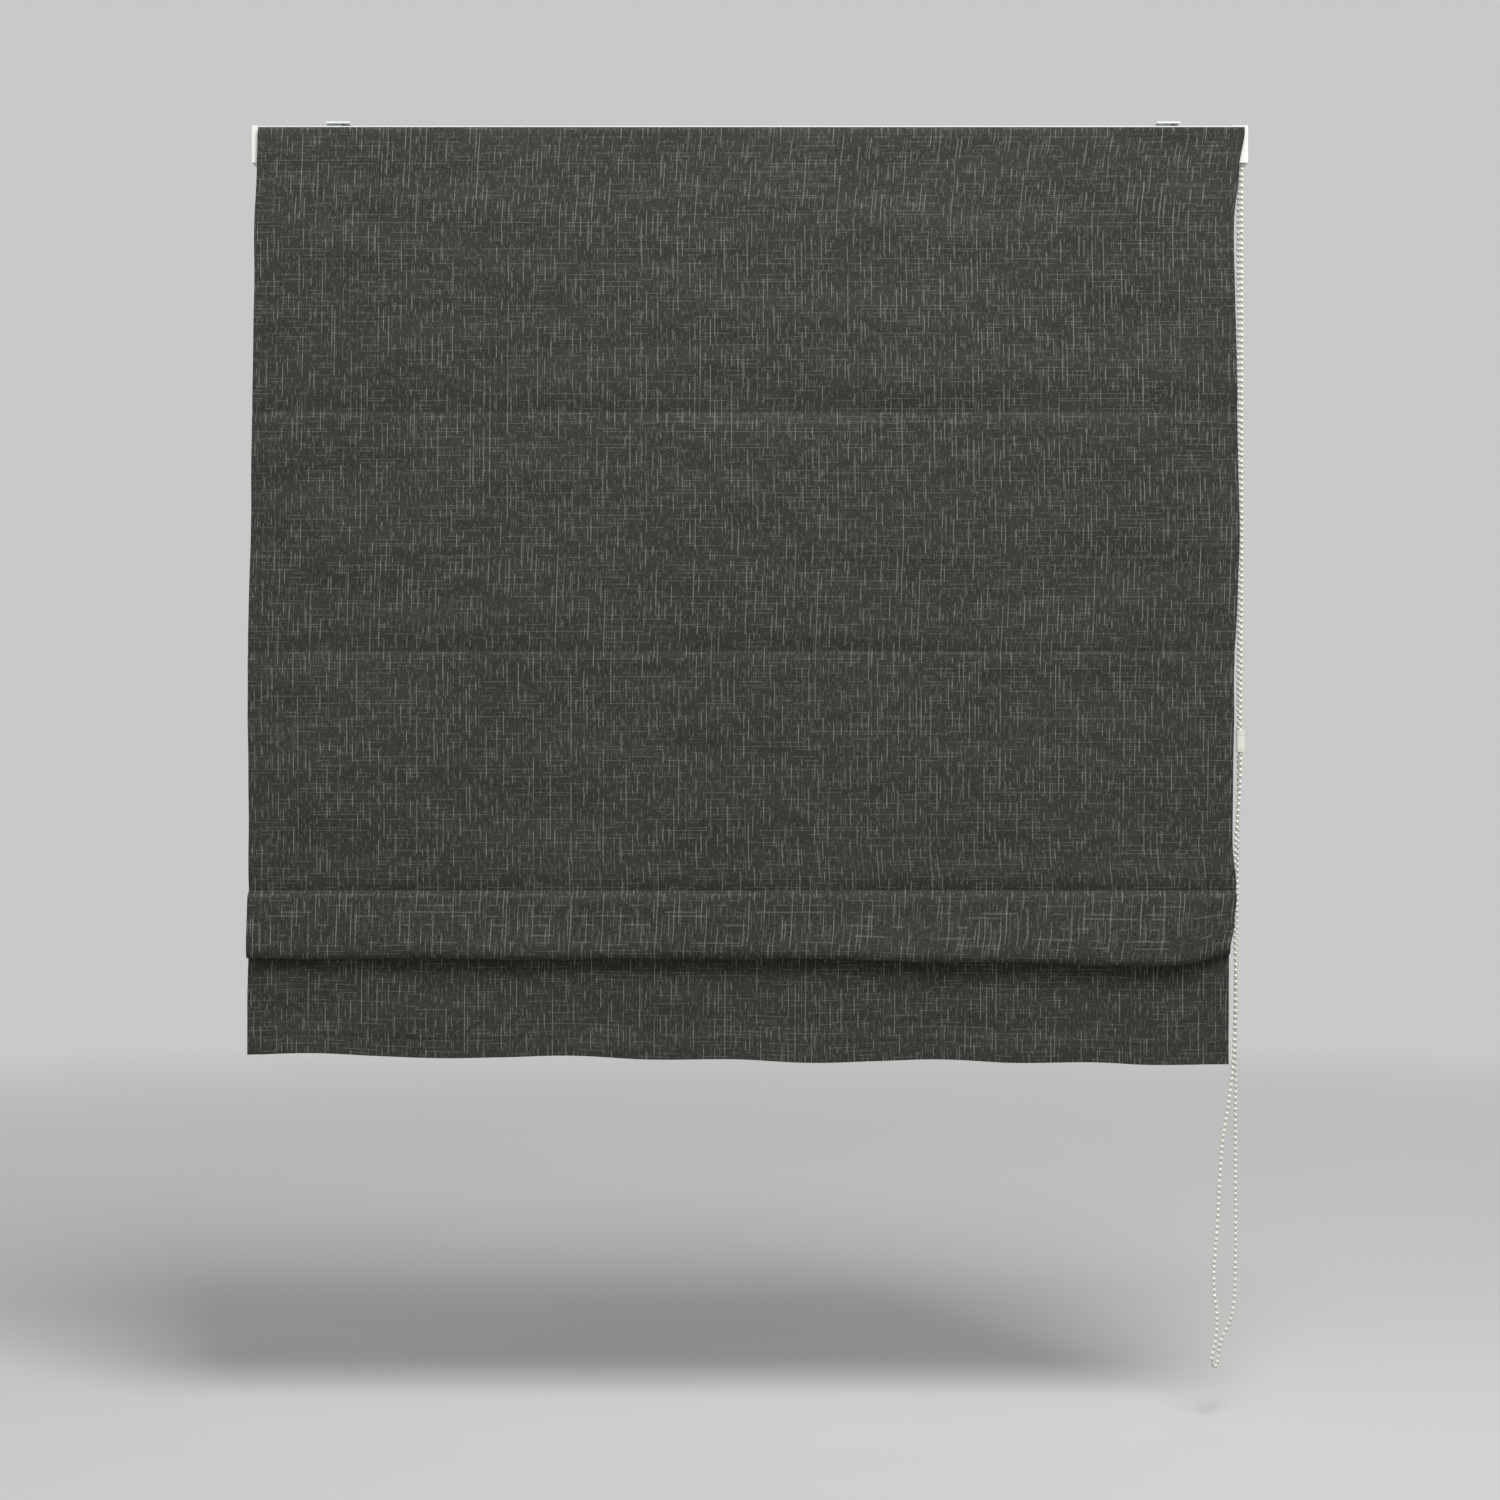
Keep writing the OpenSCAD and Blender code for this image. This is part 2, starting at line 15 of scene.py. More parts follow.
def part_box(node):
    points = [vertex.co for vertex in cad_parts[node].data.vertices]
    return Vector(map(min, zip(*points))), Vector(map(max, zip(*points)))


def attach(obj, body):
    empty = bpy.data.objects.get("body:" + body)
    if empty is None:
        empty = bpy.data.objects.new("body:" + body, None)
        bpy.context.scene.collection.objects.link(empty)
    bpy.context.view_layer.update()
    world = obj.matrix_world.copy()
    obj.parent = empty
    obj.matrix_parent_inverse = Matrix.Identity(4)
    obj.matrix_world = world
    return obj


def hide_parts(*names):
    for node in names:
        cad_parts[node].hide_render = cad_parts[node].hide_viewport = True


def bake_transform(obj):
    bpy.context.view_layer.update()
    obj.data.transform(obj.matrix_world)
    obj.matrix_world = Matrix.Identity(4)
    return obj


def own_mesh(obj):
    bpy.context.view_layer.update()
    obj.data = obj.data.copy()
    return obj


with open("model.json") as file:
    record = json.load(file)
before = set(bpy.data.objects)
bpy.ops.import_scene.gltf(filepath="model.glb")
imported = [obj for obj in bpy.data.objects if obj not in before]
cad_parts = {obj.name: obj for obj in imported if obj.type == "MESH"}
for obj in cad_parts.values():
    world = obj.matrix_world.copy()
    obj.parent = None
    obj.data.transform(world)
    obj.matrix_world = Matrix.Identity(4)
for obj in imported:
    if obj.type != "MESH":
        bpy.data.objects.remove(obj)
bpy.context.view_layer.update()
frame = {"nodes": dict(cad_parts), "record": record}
log = logging.getLogger("roman_blind")

MM = 0.001
Point = tuple[float, float, float]
Colour = tuple[float, float, float]
Face = tuple[int, ...]
Number = TypeVar("Number", float, Vector)
Flat = tuple[float, float]
Material = bpy.types.Material
Piece = bpy.types.Object
Socket = bpy.types.NodeSocket
SIDES = (("left", -1), ("middle", 0), ("right", 1))


class Weave(Enum):
    """Cloths of the blind."""

    FACE = "face_fabric"
    LINING = "lining_fabric"


class Surface(Enum):
    """Kinds of hard finish."""

    MATT = "matt"
    GLOSS = "gloss"
    METAL = "metal"


class Value:
    """A socket of numbers that can be used in Python expressions."""

    def __init__(self, tree: bpy.types.NodeTree, socket: Socket) -> None:
        """Wrap one output socket.

        Args:
            tree: The node tree that the socket belongs to.
            socket: The output socket.
        """
        self.tree = tree
        self.socket = socket

    def _math(self, operation: str, left: "Value | float", right: "Value | float" = 0.0) -> "Value":
        """Add one Math node.

        Args:
            operation: The Math node's operation.
            left: First operand.
            right: Second operand.

        Returns:
            The result as a new value.
        """
        made = self.tree.nodes.new("ShaderNodeMath")
        made.operation = operation
        for slot, operand in zip(made.inputs, (left, right)):
            if isinstance(operand, Value):
                self.tree.links.new(operand.socket, slot)
            else:
                slot.default_value = operand
        return Value(self.tree, made.outputs[0])

    def __add__(self, other: "Value | float") -> "Value":
        """Return self + other."""
        return self._math("ADD", self, other)

    __radd__ = __add__

    def __mul__(self, other: "Value | float") -> "Value":
        """Return self * other."""
        return self._math("MULTIPLY", self, other)

    __rmul__ = __mul__

    def __sub__(self, other: "Value | float") -> "Value":
        """Return self - other."""
        return self._math("SUBTRACT", self, other)

    def __rsub__(self, other: float) -> "Value":
        """Return other - self."""
        return self._math("SUBTRACT", other, self)

    def sine(self) -> "Value":
        """Return the sine of this value."""
        return self._math("SINE", self)

    def floor(self) -> "Value":
        """Return the whole number below this value."""
        return self._math("FLOOR", self)

    def __abs__(self) -> "Value":
        """Return this value without its sign."""
        return self._math("ABSOLUTE", self)

    def clamped(self) -> "Value":
        """Return this value held between 0 and 1."""
        return self._math("MAXIMUM", self._math("MINIMUM", self, 1.0), 0.0)

    def between(self, low: float, high: float) -> "Value":
        """Return 0 below low, 1 above high, and a straight ramp between them."""
        return ((self - low) * (1.0 / (high - low))).clamped()


class Paint:
    """A material with one Principled shader, built up node by node."""

    def __init__(self, name: str) -> None:
        """Start an empty material.

        Args:
            name: The material's name.
        """
        self.material = bpy.data.materials.new(name)
        self.material.use_nodes = True
        self.tree = self.material.node_tree
        self.tree.nodes.clear()
        self.shader = self.add("ShaderNodeBsdfPrincipled")
        self.add("ShaderNodeOutputMaterial", sockets={0: self.shader.outputs[0]})

    def link(self, slot: Socket, given: object) -> None:
        """Give a socket a link, if it is given one, or a value.

        Args:
            slot: The input socket.
            given: A value, a socket or a plain number, colour or vector.
        """
        if isinstance(given, Value):
            self.tree.links.new(given.socket, slot)
        elif isinstance(given, Socket):
            self.tree.links.new(given, slot)
        else:
            slot.default_value = given

    def add(self, kind: str, settings: dict[str, object] | None = None,
            sockets: dict[str | int, object] | None = None) -> bpy.types.Node:
        """Add any node.

        Args:
            kind: The node's type.
            settings: Properties that are set before its sockets.
            sockets: Values or links by socket name or number.

        Returns:
            The new node.
        """
        made = self.tree.nodes.new(kind)
        for key, setting in (settings or {}).items():
            setattr(made, key, setting)
        for key, given in (sockets or {}).items():
            self.link(made.inputs[key], given)
        return made

    def number(self, kind: str, settings: dict[str, object] | None = None,
               sockets: dict[str | int, object] | None = None, output: str | int = 0) -> Value:
        """Add a node and wrap one of its outputs for shader maths.

        Args:
            kind: The node's type.
            settings: Properties that are set before its sockets.
            sockets: Values or links by socket name or number.
            output: The output's name or number.

        Returns:
            The output as a value.
        """
        return Value(self.tree, self.add(kind, settings, sockets).outputs[output])

    def noise(self, vector: Socket, stretch: Point, detail: float = 2.0) -> Value:
        """Add a noise over a stretched vector.

        Args:
            vector: The coordinates to stretch.
            stretch: Cells per metre along each axis.
            detail: The noise's detail.

        Returns:
            The noise between 0 and 1.
        """
        mapped = self.add("ShaderNodeVectorMath", {"operation": "MULTIPLY"}, {0: vector, 1: stretch})
        return self.number("ShaderNodeTexNoise", None, {"Vector": mapped.outputs[0], "Scale": 1.0, "Detail": detail})

    def mix(self, factor: Value, low: object, high: object) -> Socket:
        """Mix two colours.

        Args:
            factor: Share of the second colour.
            low: First colour, or a socket that gives it.
            high: Second colour, or a socket that gives it.

        Returns:
            The mixed colour's socket.
        """
        ends = {6: low, 7: high}
        ends = {key: (*end, 1.0) if isinstance(end, tuple) else end for key, end in ends.items()}
        return self.add("ShaderNodeMix", {"data_type": "RGBA"}, {0: factor, **ends}).outputs[2]

    def set(self, **sockets: object) -> None:
        """Set or link the shader's own sockets, with spaces written as underscores."""
        for key, given in sockets.items():
            self.link(self.shader.inputs[key.replace("_", " ")], given)

    def bump(self, height: Value, distance: float, strength: float = 1.0) -> None:
        """Raise the surface by a height.

        Args:
            height: Height between 0 and 1.
            distance: Metres that a height of 1 stands for.
            strength: Share of the bump that shows.
        """
        made = self.add("ShaderNodeBump", None, {"Height": height, "Distance": distance, "Strength": strength})
        self.set(Normal=made.outputs[0])


@dataclass(frozen=True)
class SlubCloth:
    """A matt woven cloth with thick places in its threads."""

    name: str
    dark: Colour
    middle: Colour
    light: Colour
    thread: float
    slub: float
    sheen: float

    def slubs(self, paint: Paint, across: Value, along: Value, spacing: float, rate: float, seed: float) -> Value:
        """Add thick places that run along single threads.

        Args:
            paint: The material.
            across: Metres across the threads.
            along: Metres along them.
            spacing: Metres from one slubby thread to the next, on average.
            rate: Thick places per metre of thread.
            seed: Sets this family of threads apart.

        Returns:
            1 in the middle of a thick place, falling to 0 at its sides and ends.
        """
        cells = across * (1.0 / spacing)
        number = cells.floor()
        middle = paint.number("ShaderNodeTexWhiteNoise", {"noise_dimensions": "1D"}, {"W": number + seed})
        shift = paint.number("ShaderNodeTexWhiteNoise", {"noise_dimensions": "1D"}, {"W": number + (seed + 0.5)})
        aside = abs(cells - number - middle * 0.6 - 0.2) * (spacing / self.thread)
        spot = paint.add("ShaderNodeCombineXYZ", None, {"X": number * 7.31, "Y": along * rate + shift * 60.0})
        run = paint.number("ShaderNodeTexNoise", {"noise_dimensions": "2D"},
                           {"Vector": spot.outputs[0], "Scale": 1.0, "Detail": 1.0})
        return (1.0 - aside.between(0.15, 0.5)) * run.between(0.52, 0.61)

    def build(self) -> Material:
        """Paint the cloth in the flat cloth's own coordinates.

        Returns:
            The cloth's material.
        """
        paint = Paint(self.name)
        flat = paint.add("ShaderNodeUVMap", {"uv_map": "cloth"}).outputs[0]
        axes = paint.add("ShaderNodeSeparateXYZ", None, {0: flat})
        across = Value(paint.tree, axes.outputs[0])
        along = Value(paint.tree, axes.outputs[1])
        turns = math.tau / self.thread
        warp = (across * turns).sine() * 0.5 + 0.5
        weft = (along * turns).sine() * 0.5 + 0.5
        weave = warp * (1.0 - weft) + weft * (1.0 - warp) * 0.8
        beat = (along * (math.tau / 0.0031)).sine() * 0.22 + 0.78
        upright = self.slubs(paint, across, along, spacing=0.0056, rate=40.0, seed=3.0) * beat
        fine_upright = self.slubs(paint, across, along, spacing=0.0027, rate=110.0, seed=9.0)
        level = self.slubs(paint, along, across, spacing=0.0040, rate=30.0, seed=5.0)
        speck = paint.noise(flat, (300.0, 900.0, 1.0), 3.0).between(0.38, 0.62)
        cloud = paint.noise(flat, (5.0, 34.0, 1.0), 4.0).between(0.3, 0.7)
        tone = speck * 0.55 + cloud * 0.3 + weave * 0.15
        slubs = (upright * 0.85 + fine_upright * 0.32 + level * 0.28).clamped() * self.slub
        ground = paint.mix(tone, self.dark, self.middle)
        paint.set(Base_Color=paint.mix(slubs, ground, self.light), Roughness=0.9,
                  Sheen_Weight=self.sheen, Sheen_Roughness=0.5, Specular_IOR_Level=0.2)
        paint.bump(weave * 0.5 + slubs * 0.9 + speck * 0.5, 0.00035, 0.8)
        return paint.material


@dataclass(frozen=True)
class HardFinish:
    """Moulded plastic, painted metal or bare metal with faint wear."""

    name: str
    colour: Colour
    surface: Surface
    roughness: float
    worn: Colour

    def build(self) -> Material:
        """Paint the finish in the object's own space.

        Returns:
            The finish's material.
        """
        paint = Paint(self.name)
        space = paint.add("ShaderNodeTexCoord").outputs["Object"]
        grain = paint.noise(space, (900.0, 900.0, 900.0), 2.0)
        drift = paint.noise(space, (14.0, 40.0, 40.0), 3.0).between(0.35, 0.75)
        streak = paint.noise(space, (20.0, 1600.0, 1600.0), 2.0)
        edge = paint.number("ShaderNodeNewGeometry", output="Pointiness").between(0.52, 0.6)
        shade = (drift * 0.35 + edge * 0.4).clamped()
        paint.set(Base_Color=paint.mix(shade, self.colour, self.worn))
        metal = self.surface is Surface.METAL
        texture = streak if metal else grain
        paint.set(Roughness=texture * 0.16 + (self.roughness - 0.08), Metallic=1.0 if metal else 0.0)
        paint.set(Coat_Weight=0.25 if self.surface is Surface.GLOSS else 0.0)
        paint.bump(texture, 0.00004, 0.35)
        return paint.material


@dataclass(frozen=True)
class BraidedCord:
    """A thin braided cord."""

    name: str
    colour: Colour

    def build(self) -> Material:
        """Paint strands that cross on a slant.

        Returns:
            The cord's material.
        """
        paint = Paint(self.name)
        space = paint.add("ShaderNodeTexCoord").outputs["Object"]
        axes = paint.add("ShaderNodeSeparateXYZ", None, {0: space})
        across = Value(paint.tree, axes.outputs[0])
        height = Value(paint.tree, axes.outputs[2])
        one_way = ((height + across * 2.0) * 4200.0).sine() * 0.5 + 0.5
        other_way = ((height - across * 2.0) * 4200.0).sine() * 0.5 + 0.5
        strands = one_way * other_way
        shadow = tuple(0.55 * channel for channel in self.colour)
        paint.set(Base_Color=paint.mix(strands, shadow, self.colour), Roughness=0.8, Sheen_Weight=0.2)
        paint.bump(strands, 0.0001, 0.7)
        return paint.material


FACE = SlubCloth("face_cloth", (0.0088, 0.0091, 0.0072), (0.0425, 0.0435, 0.0366), (0.205, 0.205, 0.180),
                 thread=0.0011, slub=0.9, sheen=0.02)
LINING = SlubCloth("lining_cloth", (0.54, 0.52, 0.47), (0.68, 0.66, 0.61), (0.76, 0.75, 0.71),
                   thread=0.0007, slub=0.3, sheen=0.05)
TAPE = SlubCloth("tape_cloth", (0.48, 0.47, 0.44), (0.65, 0.645, 0.62), (0.76, 0.76, 0.74),
                 thread=0.0016, slub=0.5, sheen=0.1)
THREAD = BraidedCord("sewing_thread", (0.055, 0.055, 0.048))
PALE_THREAD = BraidedCord("pale_thread", (0.62, 0.60, 0.55))
CORD = BraidedCord("lift_cord", (0.74, 0.74, 0.71))
HARD_FINISHES = {
    "rail_metal": HardFinish("rail_paint", (0.62, 0.62, 0.607), Surface.GLOSS, 0.38, (0.53, 0.52, 0.50)),
    "white_plastic": HardFinish("white_moulding", (0.61, 0.61, 0.588), Surface.MATT, 0.42, (0.52, 0.51, 0.48)),
    "clear_plastic": HardFinish("milky_moulding", (0.58, 0.61, 0.62), Surface.GLOSS, 0.22, (0.48, 0.51, 0.52)),
    "chain_plastic": HardFinish("bead_moulding", (0.58, 0.565, 0.512), Surface.GLOSS, 0.28, (0.48, 0.46, 0.405)),
    "shaft_metal": HardFinish("shaft_bar", (0.50, 0.50, 0.51), Surface.METAL, 0.36, (0.50, 0.50, 0.51)),
    "bar_metal": HardFinish("bottom_bar_metal", (0.68, 0.68, 0.68), Surface.METAL, 0.42, (0.56, 0.56, 0.56)),
    "spring_steel": HardFinish("spring_wire", (0.50, 0.50, 0.51), Surface.METAL, 0.26, (0.36, 0.36, 0.37)),
    "dark_plastic": HardFinish("dark_moulding", (0.05, 0.05, 0.055), Surface.MATT, 0.45, (0.10, 0.10, 0.10)),
    "rod_glass_fibre": HardFinish("glass_fibre", (0.68, 0.67, 0.54), Surface.GLOSS, 0.34, (0.58, 0.56, 0.44)),
}


def smooth(share: float) -> float:
    """Return an eased share between 0 and 1."""
    held = min(1.0, max(0.0, share))
    return held * held * (3.0 - 2.0 * held)


def follow(points: Sequence[Flat], at: float) -> float:
    """Return a smooth value through rising (place, value) points.

    Args:
        points: Places and values, with rising places.
        at: The place asked for.

    Returns:
        The value there.
    """
    if at <= points[0][0]:
        return points[0][1]
    for (a, low), (b, high) in zip(points, points[1:]):
        if at <= b:
            return low + (high - low) * smooth((at - a) / (b - a))
    return points[-1][1]


def ripple(x: float, z: float, size: float, seed: float) -> float:
    """Return smooth noise between -1 and 1 over the cloth, with waves of the given size in metres."""
    return noise.noise(Vector((x / size, seed, z / size)))


def new_piece(name: str, verts: list[Point], faces: list[Face], material: Material) -> Piece:
    """Make one smooth mesh piece.

    Args:
        name: The piece's name.
        verts: Its points in metres.
        faces: Its faces, as point numbers.
        material: Its finish.

    Returns:
        The new object, linked to the scene.
    """
    mesh = bpy.data.meshes.new(name)
    mesh.from_pydata(verts, [], faces)
    mesh.polygons.foreach_set("use_smooth", [True] * len(faces))
    mesh.materials.append(material)
    mesh.update()
    piece = bpy.data.objects.new(name, mesh)
    bpy.context.scene.collection.objects.link(piece)
    return piece


def settle(piece: Piece, body: str, node: str | None = None) -> None:
    """Tie a piece to its body.

    Args:
        piece: The piece.
        body: The body that it rides on.
        node: The node that it replaces, if any.
    """
    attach(piece, body)
    if node:
        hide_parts(node)


def lay_flat(mesh: bpy.types.Mesh, flat: Sequence[Flat]) -> None:
    """Write each point's place on the flat cloth, in metres, as the mesh's "cloth" coordinates."""
    layer = mesh.uv_layers.new(name="cloth")
    layer.data.foreach_set("uv", [value for loop in mesh.loops for value in flat[loop.vertex_index]])


def circle(count: int) -> list[float]:
    """Return the angles of count even steps round a circle, from 0."""
    return [math.tau * k / count for k in range(count)]


def band(rings: int, size: int, base: int = 0) -> list[Face]:
    """Join rings of points with faces.

    Args:
        rings: How many rings.
        size: Points in each ring.
        base: Number of the first point.

    Returns:
        The faces, four points each.
    """
    starts = range(base, base + (rings - 1) * size, size)
    return [(a + k, a + size + k, a + size + (k + 1) % size, a + (k + 1) % size) for a in starts for k in range(size)]


def four_around(points: Sequence[Number], i: int) -> list[Number]:
    """Return the points from the one before number i to the second after it, held within the list."""
    return [points[max(0, min(len(points) - 1, k))] for k in range(i - 1, i + 3)]


def curve(a: Number, b: Number, c: Number, d: Number, t: float) -> Number:
    """Return the place a share t of the way from b to c on a smooth curve through four points."""
    return 0.5 * (2 * b + (c - a) * t + (2 * a - 5 * b + 4 * c - d) * t * t + (3 * b - a - 3 * c + d) * t ** 3)


def sheet_shell(name: str, columns: Sequence[float], rows: Sequence[float], thickness: float,
                front: Callable[[float, float], Point], outward: Callable[[float, float], Vector],
                material: Material) -> Piece:
    """Make a thin closed sheet over a grid of the flat cloth.

    Args:
        name: The piece's name.
        columns: Shares across the cloth, from 0 at the left to 1 at the right.
        rows: Lengths along the flat cloth, in metres, rising downwards.
        thickness: The cloth's thickness.
        front: Gives the front surface's point for a share and a length.
        outward: Gives the direction from the back to the front there.
        material: The cloth's finish.

    Returns:
        The new sheet, with the flat cloth's metres in its "cloth" coordinates.
    """
    near: list[Point] = []
    far: list[Point] = []
    flat: list[Flat] = []
    for length in rows:
        for share in columns:
            point = Vector(front(share, length))
            back = point - outward(share, length) * thickness
            near.append(tuple(point))
            far.append(tuple(back))
            flat.append((share * Cloth.WIDTH, -length))
    wide, tall, count = len(columns), len(rows), len(near)
    faces: list[Face] = []
    for r in range(tall - 1):
        for c in range(wide - 1):
            a, b = r * wide + c, r * wide + c + 1
            d, e = a + wide, b + wide
            faces.append((a, d, e, b))
            faces.append((count + a, count + b, count + e, count + d))
    top, bottom = list(range(wide)), [(tall - 1) * wide + c for c in range(wide)]
    left, right = [r * wide for r in range(tall)], [r * wide + wide - 1 for r in range(tall)]
    rim_start = len(faces)
    for line, turn in ((top, False), (bottom, True), (left, True), (right, False)):
        for a, b in zip(line, line[1:]):
            faces.append((a, count + a, count + b, b) if turn else (a, b, count + b, count + a))
    piece = new_piece(name, near + far, faces, material)
    mesh = piece.data
    lay_flat(mesh, flat + flat)
    rim_edges = {tuple(sorted(key)) for face in mesh.polygons[rim_start:] for key in face.edge_keys}
    sharp = [tuple(sorted(edge.vertices)) in rim_edges for edge in mesh.edges]
    mesh.attributes.new("sharp_edge", "BOOLEAN", "EDGE").data.foreach_set("value", sharp)
    return piece


def tube_rings(path: Sequence[Vector], radius: Callable[[int], float],
               sides: int) -> tuple[list[Point], list[Face]]:
    """Make a closed tube along a path.

    Args:
        path: The tube's middle line.
        radius: Gives the radius at each point's number.
        sides: Sides of the tube.

    Returns:
        The points and faces of the tube.
    """
    verts: list[Point] = []
    faces: list[Face] = []
    last = len(path) - 1
    for i, middle in enumerate(path):
        ahead = (path[min(last, i + 1)] - path[max(0, i - 1)]).normalized()
        guide = Vector((1, 0, 0)) if abs(ahead.x) < 0.9 else Vector((0, 1, 0))
        side = ahead.cross(guide).normalized()
        other = side.cross(ahead)
        for turn in circle(sides):
            arm = side * math.cos(turn) + other * math.sin(turn)
            verts.append(tuple(middle + arm * radius(i)))
    for i in range(last):
        for k in range(sides):
            n = (k + 1) % sides
            faces.append((i * sides + k, i * sides + n, (i + 1) * sides + n, (i + 1) * sides + k))
    faces.append(tuple(reversed(range(sides))))
    faces.append(tuple(last * sides + k for k in range(sides)))
    return verts, faces


def spread(first: float, last: float, step: float) -> list[float]:
    """Return evenly spaced numbers from first to last, about a step apart."""
    count = max(2, round(abs(last - first) / step) + 1)
    return [first + (last - first) * i / (count - 1) for i in range(count)]


@dataclass
class Cloth:
    """The face cloth and its lining, from the headrail to the bottom hem."""

    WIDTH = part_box("flap_face")[1][0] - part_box("flap_face")[0][0]
    FOLD_CREASE = 6
    FOLD_END = 11
    face_thickness: float = 0.9 * MM
    lining_thickness: float = 0.5 * MM
    puff: float = 2.5 * MM
    puff_above: float = 20.0 * MM
    puff_below: float = 12.0 * MM
    column_step: float = 6.0 * MM
    row_step: float = 3.2 * MM
    front_curl: float = 50.0 * MM
    hem_height: float = 27.0 * MM
    hem_stitch: float = 18.0 * MM
    hem_width: float = 0.976
    left_edge: list[Flat] = field(default_factory=lambda: [
        (0.007, -0.515), (0.12, -0.5185), (0.40, -0.522), (0.56, -0.5255), (0.76, -0.5245), (0.98, -0.5262)])
    right_edge: list[Flat] = field(default_factory=lambda: [
        (0.007, 0.516), (0.05, 0.510), (0.11, 0.5045), (0.30, 0.508), (0.43, 0.5105), (0.60, 0.5045),
        (0.76, 0.503), (0.80, 0.507), (0.84, 0.504), (0.87, 0.499), (0.98, 0.4985)])

    def __post_init__(self) -> None:
        """Read the cloth's levels from the frame and make its finishes."""
        head_low, head_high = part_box("head_face")
        self.plane, self.top = head_low[1], head_high[2]
        self.head_end = head_low[2] - 0.5 * MM
        self.seams = [(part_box(f"rod_{i}")[0][2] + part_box(f"rod_{i}")[1][2]) / 2 for i in (1, 2, 3, 4)]
        self.tops = [self.head_end, self.seams[0], self.seams[1]]
        self.fold_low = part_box("fold_face_front")[0][2]
        self.curl_low = self.fold_low - 3.0 * MM
        self.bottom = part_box("flap_face")[0][2]
        self.lining_inset = (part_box("flap_lining")[0][0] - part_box("flap_face")[0][0]) / self.WIDTH
        self.materials = {Weave.FACE: FACE.build(), Weave.LINING: LINING.build()}

    def slack(self, z: float, x: float) -> float:
        """Work out how far the cloth stands forward of its seams.

        Args:
            z: Height.
            x: Place across the blind.

        Returns:
            0 at a seam, rising to 1 away from it.
        """
        stands = 1.0
        for number, seam in enumerate(self.seams[:3]):
            above = z - seam - 2.0 * MM * ripple(x, 0.0, 0.13, 3.0 + number)
            reach = self.puff_above if above > 0.0 else self.puff_below
            share = min(1.0, abs(above) / reach)
            stands = min(stands, 1.0 - (1.0 - share) ** 1.6)
        return stands * smooth((self.top - z + 1.0 * MM) / (5.0 * MM))

    def flat_point(self, share: float, z: float) -> Point:
        """Return the front of the flat hanging cloth.

        Args:
            share: Place across the cloth, from 0 to 1.
            z: Height.

        Returns:
            The point on the cloth's front.
        """
        depth = -z
        left = follow(self.left_edge, depth) + 0.5 * MM * ripple(0.0, z, 0.05, 11.0)
        right = follow(self.right_edge, depth) + 0.5 * MM * ripple(0.0, z, 0.05, 17.0)
        x = left + (right - left) * share
        near_seam = min(abs(z - seam) for seam in self.seams[:3])
        loose = smooth((self.head_end - z) / 0.06) * smooth(near_seam / 0.05)
        y = self.plane - self.puff * self.slack(z, x) * (0.55 + 0.45 * smooth((self.head_end - z) / 0.06))
        y -= loose * (2.2 * MM * ripple(x, z * 0.6, 0.32, 5.0) + 1.0 * MM * ripple(x, z, 0.09, 8.0))
        y -= loose * 1.1 * MM * ripple(x * 0.7 + z, z * 0.7 - x, 0.07, 21.0) * smooth((0.34 - share) / 0.3)
        return (x, y, z)

    def hanging(self, share: float, length: float) -> Point:
        """Return the front of the flat hanging cloth at a length down from the ceiling."""
        return self.flat_point(share, -length)

    def tilt(self, x: float) -> float:
        """Return how far the flap's lower edge stands above its level line at this place."""
        return 1.4 * MM - 0.0103 * x

    def flap_point(self, share: float, length: float) -> Point:
        """Return the front of the flap.

        Args:
            share: Place across the cloth.
            length: Length down from the last rod.

        Returns:
            The point on the flap's front.
        """
        whole = self.seams[3] - self.bottom
        part = length / whole
        z = self.seams[3] - length
        x = self.flat_point(share, z)[0]
        z += self.tilt(x) * part + part * (6.0 * MM * ripple(x, 0.0, 0.13, 31.0) - 2.8 * MM)
        from_bottom = whole - length
        y = self.plane - (1.0 * MM + 1.6 * MM * ripple(x, z, 0.22, 6.0)) * smooth(length / 0.03)
        y -= 2.4 * MM * smooth(share / 0.04) * smooth(length / 0.05)
        y -= 0.9 * MM * smooth((self.hem_height - from_bottom) / (3.0 * MM))
        stitch = (from_bottom - self.hem_stitch) / (2.0 * MM)
        y += 0.8 * MM * math.exp(-stitch * stitch)
        return (x, y, z)

    def fold_route(self) -> list[Flat]:
        """Lay out the gathered bottom fold's section.

        Returns:
            Its (y, z) points, from the third rod to the last.
        """
        low, top, end, plane = self.curl_low, self.seams[2], self.seams[3], self.plane
        return [
            (plane, top), (plane - 6 * MM, top - 5 * MM), (plane - 9.5 * MM, top - 14 * MM),
            (plane - 12.5 * MM, top - 32 * MM), (plane - 16.4 * MM, low + 17 * MM),
            (plane - 16.6 * MM, low + 6 * MM), (plane - 13 * MM, low), (plane - 9.6 * MM, low + 4 * MM),
            (plane - 7 * MM, low + 16 * MM), (plane - 4 * MM, low + 34 * MM),
            (plane - 1.2 * MM, end - 7 * MM), (plane, end),
        ]

